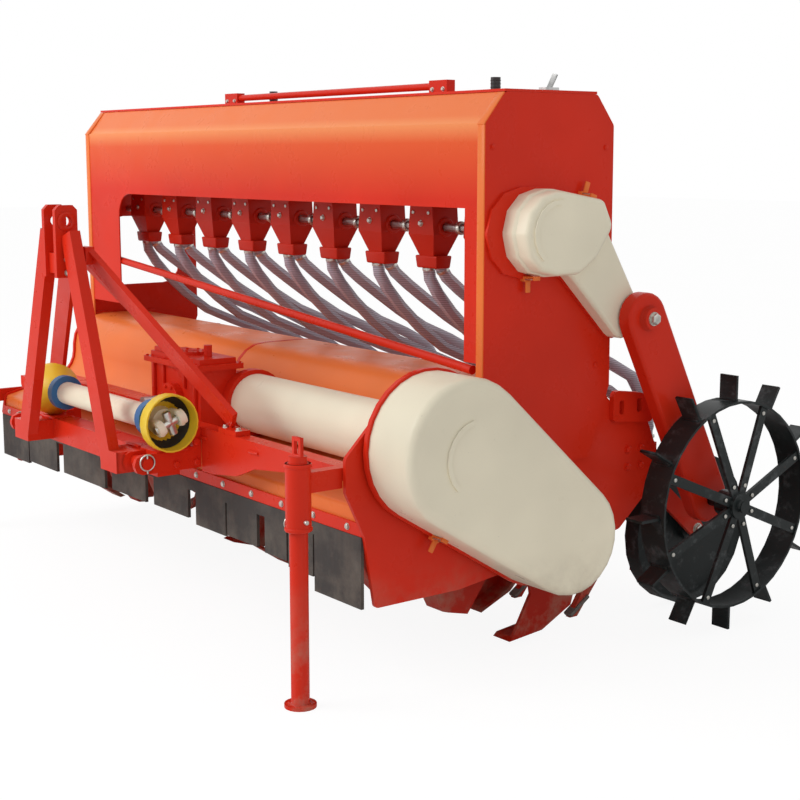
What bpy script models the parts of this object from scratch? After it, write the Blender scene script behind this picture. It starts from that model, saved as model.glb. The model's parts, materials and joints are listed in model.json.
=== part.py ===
"""Seed drill: rotary tiller with a seed hopper, chain driven from a lugged ground wheel.

Axes: X across (the gear cover and ground wheel are at +X), Y to the rear, Z up, ground at 0.
Y is 0 at the hopper's front sheet. All lengths are metres.
"""
import math

import bmesh
import bpy
from mathutils import Matrix, Vector

GAP = 0.0003                 # clearance between pieces that seat on each other
RUN = 0.0005                 # radial clearance of a running bore
RIM = 0.006                  # how far a backing plate shows round what it carries

# Side plates and hopper
HALF_WIDTH = 1.0             # outer face of the hopper side plates
PLATE_T = 0.006
ROTOR_SIDE_T = 0.010
HOPPER_TOP = 1.30
HOPPER_DEPTH = 0.39
HOPPER_SIDE_FOOT = 0.45
CHAMFER_DEPTH = 0.057
CHAMFER_DROP = 0.069
REAR_CHAMFER_DEPTH = 0.054
SHEET_T = 0.004
TANK_HEIGHT = 0.248
FUNNEL_HEIGHT = 0.110        # sloping lower part of the tank
TANK_FLOOR_HALF = 0.045
WINDOW_MARGIN_LEFT = 0.22
WINDOW_MARGIN_RIGHT = 0.07
WINDOW_CORNER_R = 0.07
FRONT_SHEET_FOOT = 0.70
SIDE_WINDOW_FRONT = 0.06
SIDE_WINDOW_BACK = 0.325
SIDE_WINDOW_HEIGHT = 0.225
SIDE_WINDOW_BELOW_TANK = 0.087
BRACE_R = 0.011
BRACE_RISE = 0.157
BRACE_FOOT = 0.681

# Lid
LID_T = 0.006
LID_RAIL_Y = 0.200
LID_RAIL_R = 0.009
LID_RAIL_RISE = 0.030
LID_LUGS = (-0.395, 0.595)
LID_LUG_W = 0.070
LID_KNOBS = (-0.250, 0.745)
KNOB_R = 0.012
KNOB_HEIGHT = 0.040

# Feed cups, hoses and furrow openers
ROW_COUNT = 9
ROW_MARGIN = 0.15            # from the outer row to the side plate
FEED_Y = 0.142
FEED_DROP = 0.062            # feed shaft below the tank floor
FEED_SHAFT_R = 0.010
CARRIER_T = 0.010
CUP_WIDTH = 0.100
CUP_DEPTH = 0.078
CUP_BODY_DROP = 0.080        # foot of the cup's box below the tank floor
CUP_FUNNEL_DROP = 0.136      # foot of its funnel
CUP_MOUTH_HALF = 0.026
HOSE_R = 0.0155
HOSE_APART = 0.040
SOCKET_HEIGHT = 0.022
TOOLBAR_Y = 0.490
TOOLBAR_Z = 0.430
TOOLBAR_SIZE = 0.060
SHANK_T = 0.016
BOOT_Y = 0.665
BOOT_DEPTH = 0.036
BOOT_WIDTH = 0.076
BOOT_TOP = 0.430
BOOT_FOOT = 0.080

# Rotor
ROTOR_Y = 0.150
ROTOR_Z = 0.305
ROTOR_R = 0.286
ROTOR_TUBE_R = 0.042
STUB_AXLE_R = 0.029
FLANGE_R = 0.105
FLANGE_T = 0.012
FLANGE_COUNT = 8
BLADES_PER_FLANGE = 4
BLADE_T = 0.009
BLADE_SWEEP = 0.060          # width of the blade's bent tip
END_BLADE_ANGLE = 211        # degrees, of the first blade of the right end flange
FLANGE_TWIST = 17            # degrees from one flange's blades to the next

# Hood, drive line and gearbox
DRIVE_Y = -0.160
DRIVE_Z = 0.537
DRIVE_TUBE_R = 0.075
HOOD_T = 0.004
HOOD_CLEARANCE = 0.014       # between the drive tube and the hood that dips under it
HOOD_FRONT_Y = -0.318
HOOD_FOOT_Z = 0.355
HOOD_SLOPE = 14              # degrees, of the shelf in front of the drive tube
HOOD_CREST_Z = 0.652
HOOD_CREST_Y = 0.200
HOOD_CREST_R = 0.110
GEARBOX_X = 0.130
GEARBOX_HALF_X = 0.130
GEARBOX_FRONT = -0.305
GEARBOX_BACK = -0.200
GEARBOX_DROP = 0.062         # foot below the input shaft
GEARBOX_RISE = 0.118
GEARBOX_FLANGE_T = 0.014
FLANGE_LIP = 0.014
INPUT_BOSS_R = 0.048
STUB_R = 0.0175
STUB_END_Y = -0.400
BEAM_FRONT = -0.270
BEAM_BACK = -0.210
BEAM_TOP = 0.500

# Gear case and its cover
CASE_T = 0.012
COVER_DEPTH = 0.158          # from the side plate to the cover's face
COVER_EDGE_R = 0.022
BIG_END_R = 0.166
SMALL_END_R = 0.130
EMBOSS_R = 0.080
EMBOSS_W = 0.011
EMBOSS_T = 0.004

# Front frame and hitch
RAIL_Y = -0.350
RAIL_Z = 0.495
RAIL_DEPTH = 0.040
RAIL_HEIGHT = 0.028
RAIL_LEFT_X = -0.72
WEB_T = 0.008
CROSSBAR_Y = -0.460
CROSSBAR_SIZE = 0.060
CROSSBAR_TOP = 0.460
PIN_X = 0.339
PIN_Y = -0.518
PIN_Z = 0.435
PIN_R = 0.014
EAR_SPREAD = 0.030
EAR_T = 0.012
EAR_R = 0.032
MAST_PIN_Z = 1.000
MAST_PIN_R = 0.0125
MAST_TOP_EDGE = 0.040        # above the top link hole
MAST_FOOT_X = 0.250
MAST_GAP = 0.026
MAST_PLATE_T = 0.014
MAST_DEPTH = 0.060
LEG_W = 0.055
LEG_T = 0.028
STAY_W = 0.056
STAY_T = 0.014
STAY_FOOT_X = 0.500

# Cardan shaft laid across the hitch
CARDAN_TUBE_R = 0.030
BELL_R = 0.070
BELL_NECK_R = 0.038
BELL_LENGTH = 0.085
BELL_WALL = 0.004
BELL_RIGHT_X = 0.400
BELL_LEFT_X = -0.300
COLLAR_R = 0.046
COLLAR_LENGTH = 0.024

# Flaps, from the left: share of the half width where each starts and ends, and its foot
FLAP_TOP = 0.351
FLAP_T = 0.008
FLAP_STRIP_T = 0.006
FLAP_SLIT_HEAD = 0.030
FLAPS = (
    # left, right, foot
    (-1.000, -0.800, 0.222),
    (-0.792, -0.588, 0.230),
    (-0.540, -0.262, 0.236),
    (-0.216, -0.012, 0.243),
    (0.036, 0.225, 0.246),
    (0.266, 0.416, 0.236),
    (0.424, 0.566, 0.240),
    (0.602, 0.698, 0.234),
    (0.706, 0.810, 0.222),
    (0.816, 1.000, 0.190),
)

# Feed drive, arm and ground wheel
UPPER_COVER_R = 0.098
PAN_T = 0.008
PAN_REACH = 0.040            # how far the pan shows in front of the cover
UPPER_COVER_DEPTH = 0.050    # from the side plate to the neck's face
DRUM_RISE = 0.038            # the round end stands above the neck
ARM_PIVOT_Y = 0.425
ARM_PIVOT_DROP = 0.205       # below the feed shaft
ARM_PIVOT_R = 0.016
ARM_R = 0.060                # half the arm's width
ARM_LENGTH = 0.525
ARM_OUT = 0.056              # inner face, from the side plate
ARM_T = 0.038
ARM_EDGE_R = 0.008
WHEEL_RIM_R = 0.257
WHEEL_R = 0.318
WHEEL_OUT = 0.100            # inner edge of the rim, from the side plate
WHEEL_BAND_W = 0.075
WHEEL_BAND_T = 0.006
SPOKE_COUNT = 8
SPOKE_W = 0.024
LUG_COUNT = 12
LUG_W = 0.052
LUG_T = 0.007
HUB_R = 0.032
HUB_LENGTH = 0.060
AXLE_R = 0.015
AXLE_END = 0.012

# Rear depth wheels
DEPTH_WHEEL_X = 0.080        # middle of the wheel, in from the side plate
DEPTH_WHEEL_Y = 0.765
DEPTH_WHEEL_R = 0.200
DEPTH_WHEEL_W = 0.046
DEPTH_AXLE_R = 0.012
DEPTH_ARM_T = 0.012
DEPTH_ARM_W = 0.046

# Parking stands
STAND_IN = 0.035             # leg's axis, in from the side plate
STAND_Y = -0.473
STAND_R = 0.020
STAND_TOP = 0.545
SLEEVE_WALL = 0.007
SLEEVE_FOOT = 0.385
SLEEVE_TOP = 0.530
FOOT_R = 0.035
FOOT_T = 0.008
HANDLE_RISE = 0.040
HANDLE_R = 0.004

HOPPER_SHOULDER = HOPPER_TOP - CHAMFER_DROP
TANK_FLOOR = HOPPER_TOP - TANK_HEIGHT
WINDOW_TOP = TANK_FLOOR - 0.007
WINDOW_LEFT = -HALF_WIDTH + WINDOW_MARGIN_LEFT
WINDOW_RIGHT = HALF_WIDTH - WINDOW_MARGIN_RIGHT
FEED_Z = TANK_FLOOR - FEED_DROP
CUP_FOOT = TANK_FLOOR - CUP_FUNNEL_DROP
INNER = HALF_WIDTH - PLATE_T - GAP             # outer face of the rotor side plates
BETWEEN = INNER - ROTOR_SIDE_T - GAP           # half length of what spans the rotor sides
TUNNEL_R = DRIVE_TUBE_R + HOOD_CLEARANCE
CASE_BACK = HALF_WIDTH + GAP
COVER_FACE_X = HALF_WIDTH + COVER_DEPTH
ARM_PIVOT_Z = FEED_Z - ARM_PIVOT_DROP
ARM_X = HALF_WIDTH + ARM_OUT
WHEEL_BAND_X = HALF_WIDTH + WHEEL_OUT
WHEEL_Z = WHEEL_R
WHEEL_Y = ARM_PIVOT_Y + math.sqrt(ARM_LENGTH ** 2 - (ARM_PIVOT_Z - WHEEL_Z) ** 2)
HUB_FACE_X = WHEEL_BAND_X + WHEEL_BAND_W + 0.014
CARDAN_Z = CROSSBAR_TOP + BELL_R + GAP
CROSSBAR_FRONT = CROSSBAR_Y - CROSSBAR_SIZE / 2
LEG_Y = CROSSBAR_Y - BELL_R - LEG_T / 2 - 0.006
FRONT_Y = LEG_Y - MAST_DEPTH / 2
STAND_X = HALF_WIDTH - STAND_IN

PAINT = (0.80, 0.075, 0.02)
ORANGE = (0.85, 0.20, 0.045)
CREAM = (0.56, 0.49, 0.35)
COLOURS = {
    # name: (base colour, roughness, metallic)
    "red_paint": (PAINT, 0.35, 0.0),
    "orange_paint": (ORANGE, 0.35, 0.0),
    "cream_paint": (CREAM, 0.4, 0.0),
    "black_rubber": ((0.06, 0.05, 0.045), 0.8, 0.0),
    "wheel_iron": ((0.03, 0.035, 0.035), 0.55, 0.3),
    "hose": ((0.45, 0.40, 0.46), 0.4, 0.0),
    "guard_yellow": ((0.85, 0.62, 0.04), 0.45, 0.0),
    "guard_blue": ((0.03, 0.14, 0.38), 0.45, 0.0),
    "steel": ((0.5, 0.5, 0.5), 0.3, 0.9),
    "knob_black": ((0.03, 0.03, 0.03), 0.4, 0.0),
}

FACE_X = Matrix(((0, 0, 1), (1, 0, 0), (0, 1, 0))).to_4x4()      # outline drawn in Y, Z
FACE_Y = Matrix(((1, 0, 0), (0, 0, -1), (0, 1, 0))).to_4x4()     # outline drawn in X, Z


def clear_scene():
    for obj in list(bpy.data.objects):
        bpy.data.objects.remove(obj, do_unlink=True)


def make_collection(name):
    collection = bpy.data.collections.new(name)
    bpy.context.scene.collection.children.link(collection)
    return collection


def make_materials():
    materials = {}
    for name, (colour, roughness, metallic) in COLOURS.items():
        material = bpy.data.materials.new(name)
        material.use_nodes = True
        shader = material.node_tree.nodes["Principled BSDF"]
        shader.inputs["Base Color"].default_value = (*colour, 1.0)
        shader.inputs["Roughness"].default_value = roughness
        shader.inputs["Metallic"].default_value = metallic
        materials[name] = material
    return materials


def object_from(bm, name="blank"):
    bmesh.ops.remove_doubles(bm, verts=bm.verts, dist=1e-6)
    bmesh.ops.recalc_face_normals(bm, faces=bm.faces)
    mesh = bpy.data.meshes.new(name)
    bm.to_mesh(mesh)
    bm.free()
    obj = bpy.data.objects.new(name, mesh)
    SHOP.objects.link(obj)
    return obj


def box(x, y, z):
    """A block between pairs of X, Y and Z."""
    bm = bmesh.new()
    bmesh.ops.create_cube(bm, size=1.0)
    low = Vector((x[0], y[0], z[0]))
    high = Vector((x[1], y[1], z[1]))
    place = Matrix.Translation((low + high) / 2) @ Matrix.Diagonal((*(high - low), 1.0))
    bmesh.ops.transform(bm, matrix=place, verts=bm.verts)
    return object_from(bm)


def rod(start, end, radius, sides=20, end_radius=None):
    """A round bar or a cone from start to end."""
    start, end = Vector(start), Vector(end)
    bm = bmesh.new()
    bmesh.ops.create_cone(bm, cap_ends=True, segments=sides, radius1=radius,
                          radius2=radius if end_radius is None else end_radius,
                          depth=(end - start).length)
    turn = (end - start).to_track_quat("Z", "Y").to_matrix().to_4x4()
    bmesh.ops.transform(bm, matrix=Matrix.Translation((start + end) / 2) @ turn, verts=bm.verts)
    return object_from(bm)


def bar(start, end, width, thickness, across=(1, 0, 0)):
    """A flat bar from start to end; its width lies as near as it can along the given direction."""
    start, end = Vector(start), Vector(end)
    along = (end - start).normalized()
    side = Vector(across)
    side = (side - side.dot(along) * along).normalized()
    third = along.cross(side)
    bm = bmesh.new()
    bmesh.ops.create_cube(bm, size=1.0)
    size = Matrix.Diagonal((width, thickness, (end - start).length, 1.0))
    turn = Matrix((side, third, along)).transposed().to_4x4()
    bmesh.ops.transform(bm, matrix=Matrix.Translation((start + end) / 2) @ turn @ size, verts=bm.verts)
    return object_from(bm)


def arc(centre, radius, start, end, steps):
    """Points of an arc; angles in degrees."""
    points = []
    for i in range(steps + 1):
        angle = math.radians(start + (end - start) * i / steps)
        points.append((centre[0] + radius * math.cos(angle), centre[1] + radius * math.sin(angle)))
    return points


def circle(centre, radius, sides=24):
    return arc(centre, radius, 0, 360 * (sides - 1) / sides, sides - 1)


def rounded(corners, steps=4):
    """An outline from rows of (u, v, corner radius)."""
    outline = []
    count = len(corners)
    for i, (u, v, radius) in enumerate(corners):
        here = Vector((u, v))
        if radius <= 0:
            outline.append(tuple(here))
            continue
        before = (Vector(corners[i - 1][:2]) - here).normalized()
        after = (Vector(corners[(i + 1) % count][:2]) - here).normalized()
        half = before.angle(after) / 2
        reach = radius / math.tan(half)
        centre = here + (before + after).normalized() * radius / math.sin(half)
        first = here + before * reach - centre
        last = here + after * reach - centre
        turn = first.angle_signed(last)
        for k in range(steps + 1):
            spot = first.copy()
            spot.rotate(Matrix.Rotation(-turn * k / steps, 2))
            outline.append(tuple(centre + spot))
    return outline


def moved_out(line, lift):
    """An open line moved by lift to the left of its run."""
    points = [Vector(p) for p in line]
    moved = []
    for i, here in enumerate(points):
        before = (here - points[i - 1]).normalized() if i else (points[1] - here).normalized()
        after = (points[i + 1] - here).normalized() if i < len(points) - 1 else before
        normal = Vector((-before.y - after.y, before.x + after.x)).normalized()
        lean = normal.dot(Vector((-before.y, before.x)))
        moved.append(tuple(here + normal * lift / lean))
    return moved


def belt_outline(first, first_r, second, second_r, steps=12):
    """A drop shape: the tight outline round two circles."""
    first, second = Vector(first), Vector(second)
    along = second - first
    heading = math.degrees(math.atan2(along.y, along.x))
    lean = math.degrees(math.acos((first_r - second_r) / along.length))
    near = arc(first, first_r, heading + lean, heading + 360 - lean, steps + 4)
    far = arc(second, second_r, heading - lean, heading + lean, steps)
    return near + far


def plate(face, loops, low, high):
    """A flat outline, with holes, between two distances along the face's normal."""
    curve = bpy.data.curves.new("outline", "CURVE")
    curve.dimensions = "2D"
    curve.fill_mode = "BOTH"
    curve.extrude = abs(high - low) / 2
    for loop in loops:
        spline = curve.splines.new("POLY")
        spline.points.add(len(loop) - 1)
        for point, (u, v) in zip(spline.points, loop):
            point.co = (u, v, 0, 1)
        spline.use_cyclic_u = True
    flat = bpy.data.objects.new("outline", curve)
    SHOP.objects.link(flat)
    bpy.context.view_layer.update()
    shape = bpy.data.meshes.new_from_object(flat.evaluated_get(bpy.context.evaluated_depsgraph_get()))
    bm = bmesh.new()
    bm.from_mesh(shape)
    bpy.data.objects.remove(flat, do_unlink=True)
    middle = (low + high) / 2
    if face is FACE_Y:
        middle = -middle
    bmesh.ops.transform(bm, matrix=face @ Matrix.Translation((0, 0, middle)), verts=bm.verts)
    return object_from(bm)


def soften_face(obj, at, radius, steps=3):
    """Rounds the rim of a plate's face that lies at one X."""
    bm = bmesh.new()
    bm.from_mesh(obj.data)
    bpy.data.objects.remove(obj, do_unlink=True)
    bmesh.ops.remove_doubles(bm, verts=bm.verts, dist=1e-6)
    bmesh.ops.dissolve_limit(bm, angle_limit=0.01, verts=bm.verts, edges=bm.edges)
    rim = []
    for edge in bm.edges:
        if all(abs(vert.co.x - at) < 1e-5 for vert in edge.verts):
            rim.append(edge)
    bmesh.ops.bevel(bm, geom=rim, offset=radius, offset_type="OFFSET", segments=steps, profile=0.5,
                    affect="EDGES", material=-1, clamp_overlap=True)
    return object_from(bm)


def pipe(points, radius, resolution=2, smooth=6):
    """A round bar along a smooth curve through the points; its first and last runs stay straight."""
    knots = [Vector(p) for p in points]
    path = [knots[0]]
    for i in range(1, len(knots) - 2):
        before, after = knots[i - 1], knots[i + 2]
        a, b = knots[i], knots[i + 1]
        for k in range(smooth):
            t = k / smooth
            lead = (b - before) / 2
            trail = (after - a) / 2
            path.append(a * (2 * t ** 3 - 3 * t ** 2 + 1) + lead * (t ** 3 - 2 * t ** 2 + t)
                        + b * (3 * t ** 2 - 2 * t ** 3) + trail * (t ** 3 - t ** 2))
    path += knots[-2:]
    curve = bpy.data.curves.new("route", "CURVE")
    curve.dimensions = "3D"
    curve.bevel_depth = radius
    curve.bevel_resolution = resolution
    curve.use_fill_caps = True
    spline = curve.splines.new("POLY")
    spline.points.add(len(path) - 1)
    for point, spot in zip(spline.points, path):
        point.co = (*spot, 1)
    route = bpy.data.objects.new("route", curve)
    SHOP.objects.link(route)
    bpy.context.view_layer.update()
    shape = bpy.data.meshes.new_from_object(route.evaluated_get(bpy.context.evaluated_depsgraph_get()))
    bm = bmesh.new()
    bm.from_mesh(shape)
    bpy.data.objects.remove(route, do_unlink=True)
    return object_from(bm)


def turned(profile, start, direction, sides=32):
    """A profile of (radius, distance along the axis), spun round an axis."""
    bm = bmesh.new()
    verts = [bm.verts.new((radius, 0, along)) for radius, along in profile]
    edges = [bm.edges.new((verts[i], verts[(i + 1) % len(verts)])) for i in range(len(verts))]
    bmesh.ops.spin(bm, geom=verts + edges, cent=(0, 0, 0), axis=(0, 0, 1), angle=math.tau,
                   steps=sides, use_merge=True)
    turn = Vector(direction).to_track_quat("Z", "Y").to_matrix().to_4x4()
    bmesh.ops.transform(bm, matrix=Matrix.Translation(start) @ turn, verts=bm.verts)
    return object_from(bm)


def combine(base, tools, operation, solver="EXACT"):
    for tool in tools:
        step = base.modifiers.new("combine", "BOOLEAN")
        step.operation = operation
        step.solver = solver
        step.object = tool
        bpy.context.view_layer.update()
        shape = bpy.data.meshes.new_from_object(base.evaluated_get(bpy.context.evaluated_depsgraph_get()))
        base.modifiers.clear()
        base.data = shape
        bpy.data.objects.remove(tool, do_unlink=True)
    return base


def weld(base, *tools):
    return combine(base, tools, "UNION")


def weld_fine(base, *tools):
    """A union for closed meshes whose thin facets the exact solver loses."""
    return combine(base, tools, "UNION", "MANIFOLD")


def cut(base, *tools):
    return combine(base, tools, "DIFFERENCE")


def mirrored(obj):
    """A copy on the other side of the centre plane."""
    bm = bmesh.new()
    bm.from_mesh(obj.data)
    bmesh.ops.scale(bm, vec=(-1, 1, 1), verts=bm.verts)
    bmesh.ops.reverse_faces(bm, faces=bm.faces)
    return object_from(bm)


def keep(obj, name, material, hinge=None):
    """Puts a finished piece among the parts, its origin on the joint that carries it."""
    obj.name = name
    obj.data.name = name
    obj.data.materials.clear()
    obj.data.materials.append(MATERIALS[material])
    if hinge is not None:
        obj.data.transform(Matrix.Translation(-Vector(hinge)))
        obj.location = hinge
    obj.data.shade_smooth()
    obj.data.set_sharp_from_angle(angle=math.radians(35))
    obj.parent = MACHINE
    SHOP.objects.unlink(obj)
    PARTS.objects.link(obj)
    return obj


def row_places():
    pitch = 2 * (HALF_WIDTH - ROW_MARGIN) / (ROW_COUNT - 1)
    return [(i - (ROW_COUNT - 1) / 2) * pitch for i in range(ROW_COUNT)]


def hood_line():
    """The hood's outer section from its front foot, under the drive tube and over the rotor."""
    slope = math.radians(HOOD_SLOPE)
    wall_y = DRIVE_Y + TUNNEL_R
    under_tube = DRIVE_Z - TUNNEL_R / math.cos(slope)
    corners = [
        (HOOD_FRONT_Y, HOOD_FOOT_Z, 0.0),
        (HOOD_FRONT_Y + 0.009, under_tube + (HOOD_FRONT_Y + 0.009 - DRIVE_Y) * math.tan(slope), 0.012),
        (wall_y, under_tube + TUNNEL_R * math.tan(slope), TUNNEL_R),
        (wall_y + 0.008, HOOD_CREST_Z, HOOD_CREST_R * 0.9),
        (HOOD_CREST_Y, HOOD_CREST_Z, HOOD_CREST_R),
        (TOOLBAR_Y - TOOLBAR_SIZE, TOOLBAR_Z + TOOLBAR_SIZE / 2, 0.0),
    ]
    return rounded(corners, 5)


def hopper_side_outline():
    back = HOPPER_DEPTH
    return rounded([
        (0.0, HOPPER_SIDE_FOOT, 0.0), (0.0, HOPPER_SHOULDER, 0.01), (CHAMFER_DEPTH, HOPPER_TOP, 0.012),
        (back - REAR_CHAMFER_DEPTH, HOPPER_TOP, 0.012), (back, HOPPER_SHOULDER, 0.012),
        (back + 0.003, HOPPER_SIDE_FOOT + 0.17, 0.02), (back - 0.06, HOPPER_SIDE_FOOT, 0.0),
    ], 3)


def make_side_plates():
    shaft_hole = circle((FEED_Y, FEED_Z), FEED_SHAFT_R + 0.004, 16)
    right = plate(FACE_X, [hopper_side_outline(), shaft_hole], HALF_WIDTH - PLATE_T, HALF_WIDTH)
    top = TANK_FLOOR - SIDE_WINDOW_BELOW_TANK
    foot = top - SIDE_WINDOW_HEIGHT
    window = rounded([
        (SIDE_WINDOW_FRONT, foot, 0.06), (SIDE_WINDOW_FRONT, top, 0.06),
        (SIDE_WINDOW_BACK, top, 0.06), (SIDE_WINDOW_BACK, foot, 0.06),
    ])
    left = plate(FACE_X, [hopper_side_outline(), window], -HALF_WIDTH, -HALF_WIDTH + PLATE_T)
    keep(right, "hopper_side_right", "red_paint")
    keep(left, "hopper_side_left", "red_paint")


def make_rotor_sides():
    """Both carry the rotor; the right one also reaches up behind the gear case and out to the front rail."""
    rear = [
        (HOOD_CREST_Y, HOOD_CREST_Z + RIM, 0.05), (0.335, 0.622, 0.03), (0.372, 0.616, 0.015), (0.405, 0.575, 0.02),
        (0.470, 0.588, 0.015), (0.510, 0.572, 0.02), (0.596, 0.385, 0.02), (0.445, 0.256, 0.02),
        (-0.060, 0.191, 0.03), (HOOD_FRONT_Y + 0.022, 0.190, 0.01),
    ]
    bearing = circle((ROTOR_Y, ROTOR_Z), STUB_AXLE_R + 0.001, 24)
    rail_front = RAIL_Y - RAIL_DEPTH / 2
    right = rounded([
        (rail_front - 0.002, RAIL_Z - 0.040, 0.01), (rail_front - 0.002, RAIL_Z + 0.035, 0.02),
        (DRIVE_Y - 0.120, DRIVE_Z + 0.085, 0.04), (DRIVE_Y, DRIVE_Z + 0.138, 0.05),
    ] + rear + [(HOOD_FRONT_Y - RIM, HOOD_FOOT_Z, 0.02)], 3)
    keep(plate(FACE_X, [right, bearing], INNER - ROTOR_SIDE_T, INNER), "rotor_side_right", "red_paint")
    crest = [point for point in moved_out(hood_line(), RIM) if point[0] < HOOD_CREST_Y - HOOD_CREST_R]
    left = crest + rounded(rear, 3)
    left = plate(FACE_X, [left, bearing], -INNER, -INNER + ROTOR_SIDE_T)
    housing = rod((-INNER + 0.001, ROTOR_Y, ROTOR_Z), (-HALF_WIDTH, ROTOR_Y, ROTOR_Z), 0.070, 24)
    keep(weld(left, housing), "rotor_side_left", "red_paint")


def make_hood():
    outer = hood_line()
    section = outer + moved_out(outer, -HOOD_T)[::-1]
    keep(plate(FACE_X, [section], -BETWEEN, BETWEEN), "hood", "orange_paint")


def make_front_rail():
    """A square rail with tapered webs that run out from the hitch."""
    low, high = RAIL_Z - RAIL_HEIGHT / 2, RAIL_Z + RAIL_HEIGHT / 2
    front = RAIL_Y - RAIL_DEPTH / 2
    rail = box((RAIL_LEFT_X, BETWEEN), (front, RAIL_Y + RAIL_DEPTH / 2), (low, high))
    start = PIN_X + EAR_SPREAD + EAR_T / 2 + GAP
    right = [(start, low + 0.004), (0.90, low + 0.004), (0.90, low - 0.004), (0.62, 0.445), (0.54, 0.415),
             (start + 0.05, CROSSBAR_TOP - CROSSBAR_SIZE), (start, CROSSBAR_TOP - CROSSBAR_SIZE)]
    left = [(-u, v) for u, v in right if u < abs(RAIL_LEFT_X)] + [(RAIL_LEFT_X, low - 0.004), (RAIL_LEFT_X, low + 0.004)]
    left = [left[0], left[-1], left[-2]] + left[1:-2]
    for outline in (right, left):
        rail = weld(rail, plate(FACE_Y, [outline], front + 0.001, front + 0.001 + WEB_T))
    keep(rail, "front_rail", "red_paint")


def make_flaps():
    """Rubber flaps cut from one sheet, under a clamp strip inside the hood's foot."""
    back = HOOD_FRONT_Y - GAP
    strip = box((-BETWEEN, BETWEEN), (back - FLAP_STRIP_T, back), (FLAP_TOP, FLAP_TOP + 0.028))
    keep(strip, "flap_strip", "red_paint")
    top = FLAP_TOP - GAP
    outline = [(BETWEEN, top), (-BETWEEN, top)]
    for i, (left, right, foot) in enumerate(FLAPS):
        start, end = left * BETWEEN, right * BETWEEN
        head = top - FLAP_SLIT_HEAD
        if i:
            outline.append((start, head))
        outline += [(start, foot), (end, foot)]
        if i < len(FLAPS) - 1:
            outline.append((end, head))
    keep(plate(FACE_Y, [outline], back - FLAP_T, back), "flap_curtain", "black_rubber")


def make_gearbox():
    low, high = GEARBOX_X - GEARBOX_HALF_X, GEARBOX_X + GEARBOX_HALF_X
    foot, head = DRIVE_Z - GEARBOX_DROP, DRIVE_Z + GEARBOX_RISE
    middle = (GEARBOX_FRONT + GEARBOX_BACK) / 2
    body = box((low, high), (GEARBOX_FRONT, GEARBOX_BACK), (foot, head))
    top = box((low - FLANGE_LIP, high + FLANGE_LIP), (GEARBOX_FRONT - FLANGE_LIP, GEARBOX_BACK + FLANGE_LIP),
              (head - 2 * GEARBOX_FLANGE_T, head - GEARBOX_FLANGE_T))
    cap = rod((GEARBOX_X, middle, head - 0.01), (GEARBOX_X, middle, head + 0.008), 0.040, 20)
    breather = rod((GEARBOX_X + 0.08, middle, head - 0.01), (GEARBOX_X + 0.08, middle, head + 0.03), 0.011, 8)
    boss = rod((GEARBOX_X, GEARBOX_FRONT + 0.02, DRIVE_Z), (GEARBOX_X, GEARBOX_FRONT - 0.02, DRIVE_Z), INPUT_BOSS_R, 20)
    barrel = rod((low + 0.03, DRIVE_Y, DRIVE_Z), (high + 0.01, DRIVE_Y, DRIVE_Z), DRIVE_TUBE_R - 0.003, 24)
    seat = rod((high, DRIVE_Y, DRIVE_Z), (high + 0.03, DRIVE_Y, DRIVE_Z), DRIVE_TUBE_R + 0.011, 28)
    body = weld(body, top, cap, breather, boss, barrel, seat)
    hole = rod((GEARBOX_X, GEARBOX_FRONT - 0.04, DRIVE_Z), (GEARBOX_X, GEARBOX_FRONT + 0.05, DRIVE_Z),
               STUB_R + RUN, 20)
    keep(cut(body, hole), "gearbox", "red_paint")
    stub = rod((GEARBOX_X, GEARBOX_FRONT + 0.045, DRIVE_Z), (GEARBOX_X, STUB_END_Y, DRIVE_Z), STUB_R, 20)
    keep(stub, "input_shaft", "steel", (GEARBOX_X, STUB_END_Y, DRIVE_Z))
    tube = rod((high + 0.03 + GAP, DRIVE_Y, DRIVE_Z), (BETWEEN, DRIVE_Y, DRIVE_Z), DRIVE_TUBE_R, 36)
    keep(tube, "drive_tube", "cream_paint")
    shelf = DRIVE_Z - TUNNEL_R / math.cos(math.radians(HOOD_SLOPE))
    lift = (BEAM_BACK - DRIVE_Y) * math.tan(math.radians(HOOD_SLOPE))
    beam = box((RAIL_LEFT_X, low - GAP), (BEAM_FRONT, BEAM_BACK), (shelf + lift + 0.001, BEAM_TOP))
    bracket = box((RAIL_LEFT_X, RAIL_LEFT_X + 0.02), (RAIL_Y + RAIL_DEPTH / 2 + GAP, BEAM_FRONT + 0.01),
                  (RAIL_Z - RAIL_HEIGHT / 2, BEAM_TOP))
    keep(weld(beam, bracket), "left_beam", "red_paint")


def emboss(centre, radius, start, end, face):
    """A raised arc on a cover."""
    inner = arc(centre, radius - EMBOSS_W / 2, start, end, 8)
    outer = arc(centre, radius + EMBOSS_W / 2, end, start, 8)
    return plate(FACE_X, [inner + outer], face - 0.002, face + EMBOSS_T)


def make_gear_case():
    big, small = (DRIVE_Y, DRIVE_Z), (ROTOR_Y, ROTOR_Z)
    case = plate(FACE_X, [belt_outline(big, BIG_END_R + RIM, small, SMALL_END_R + RIM),
                          circle(small, STUB_AXLE_R + 0.02, 20)], CASE_BACK, CASE_BACK + CASE_T)
    pad = rod((INNER + GAP, DRIVE_Y, DRIVE_Z), (CASE_BACK + CASE_T / 2, DRIVE_Y, DRIVE_Z), DRIVE_TUBE_R + 0.01, 24)
    keep(weld(case, pad), "gear_case", "red_paint")
    cover = plate(FACE_X, [belt_outline(big, BIG_END_R, small, SMALL_END_R)], CASE_BACK + CASE_T + GAP, COVER_FACE_X)
    cover = soften_face(cover, COVER_FACE_X, COVER_EDGE_R)
    arch = emboss((DRIVE_Y + 0.015, DRIVE_Z - 0.007), EMBOSS_R, 100, 228, COVER_FACE_X)
    keep(weld(cover, arch), "gear_cover", "cream_paint")


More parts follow.
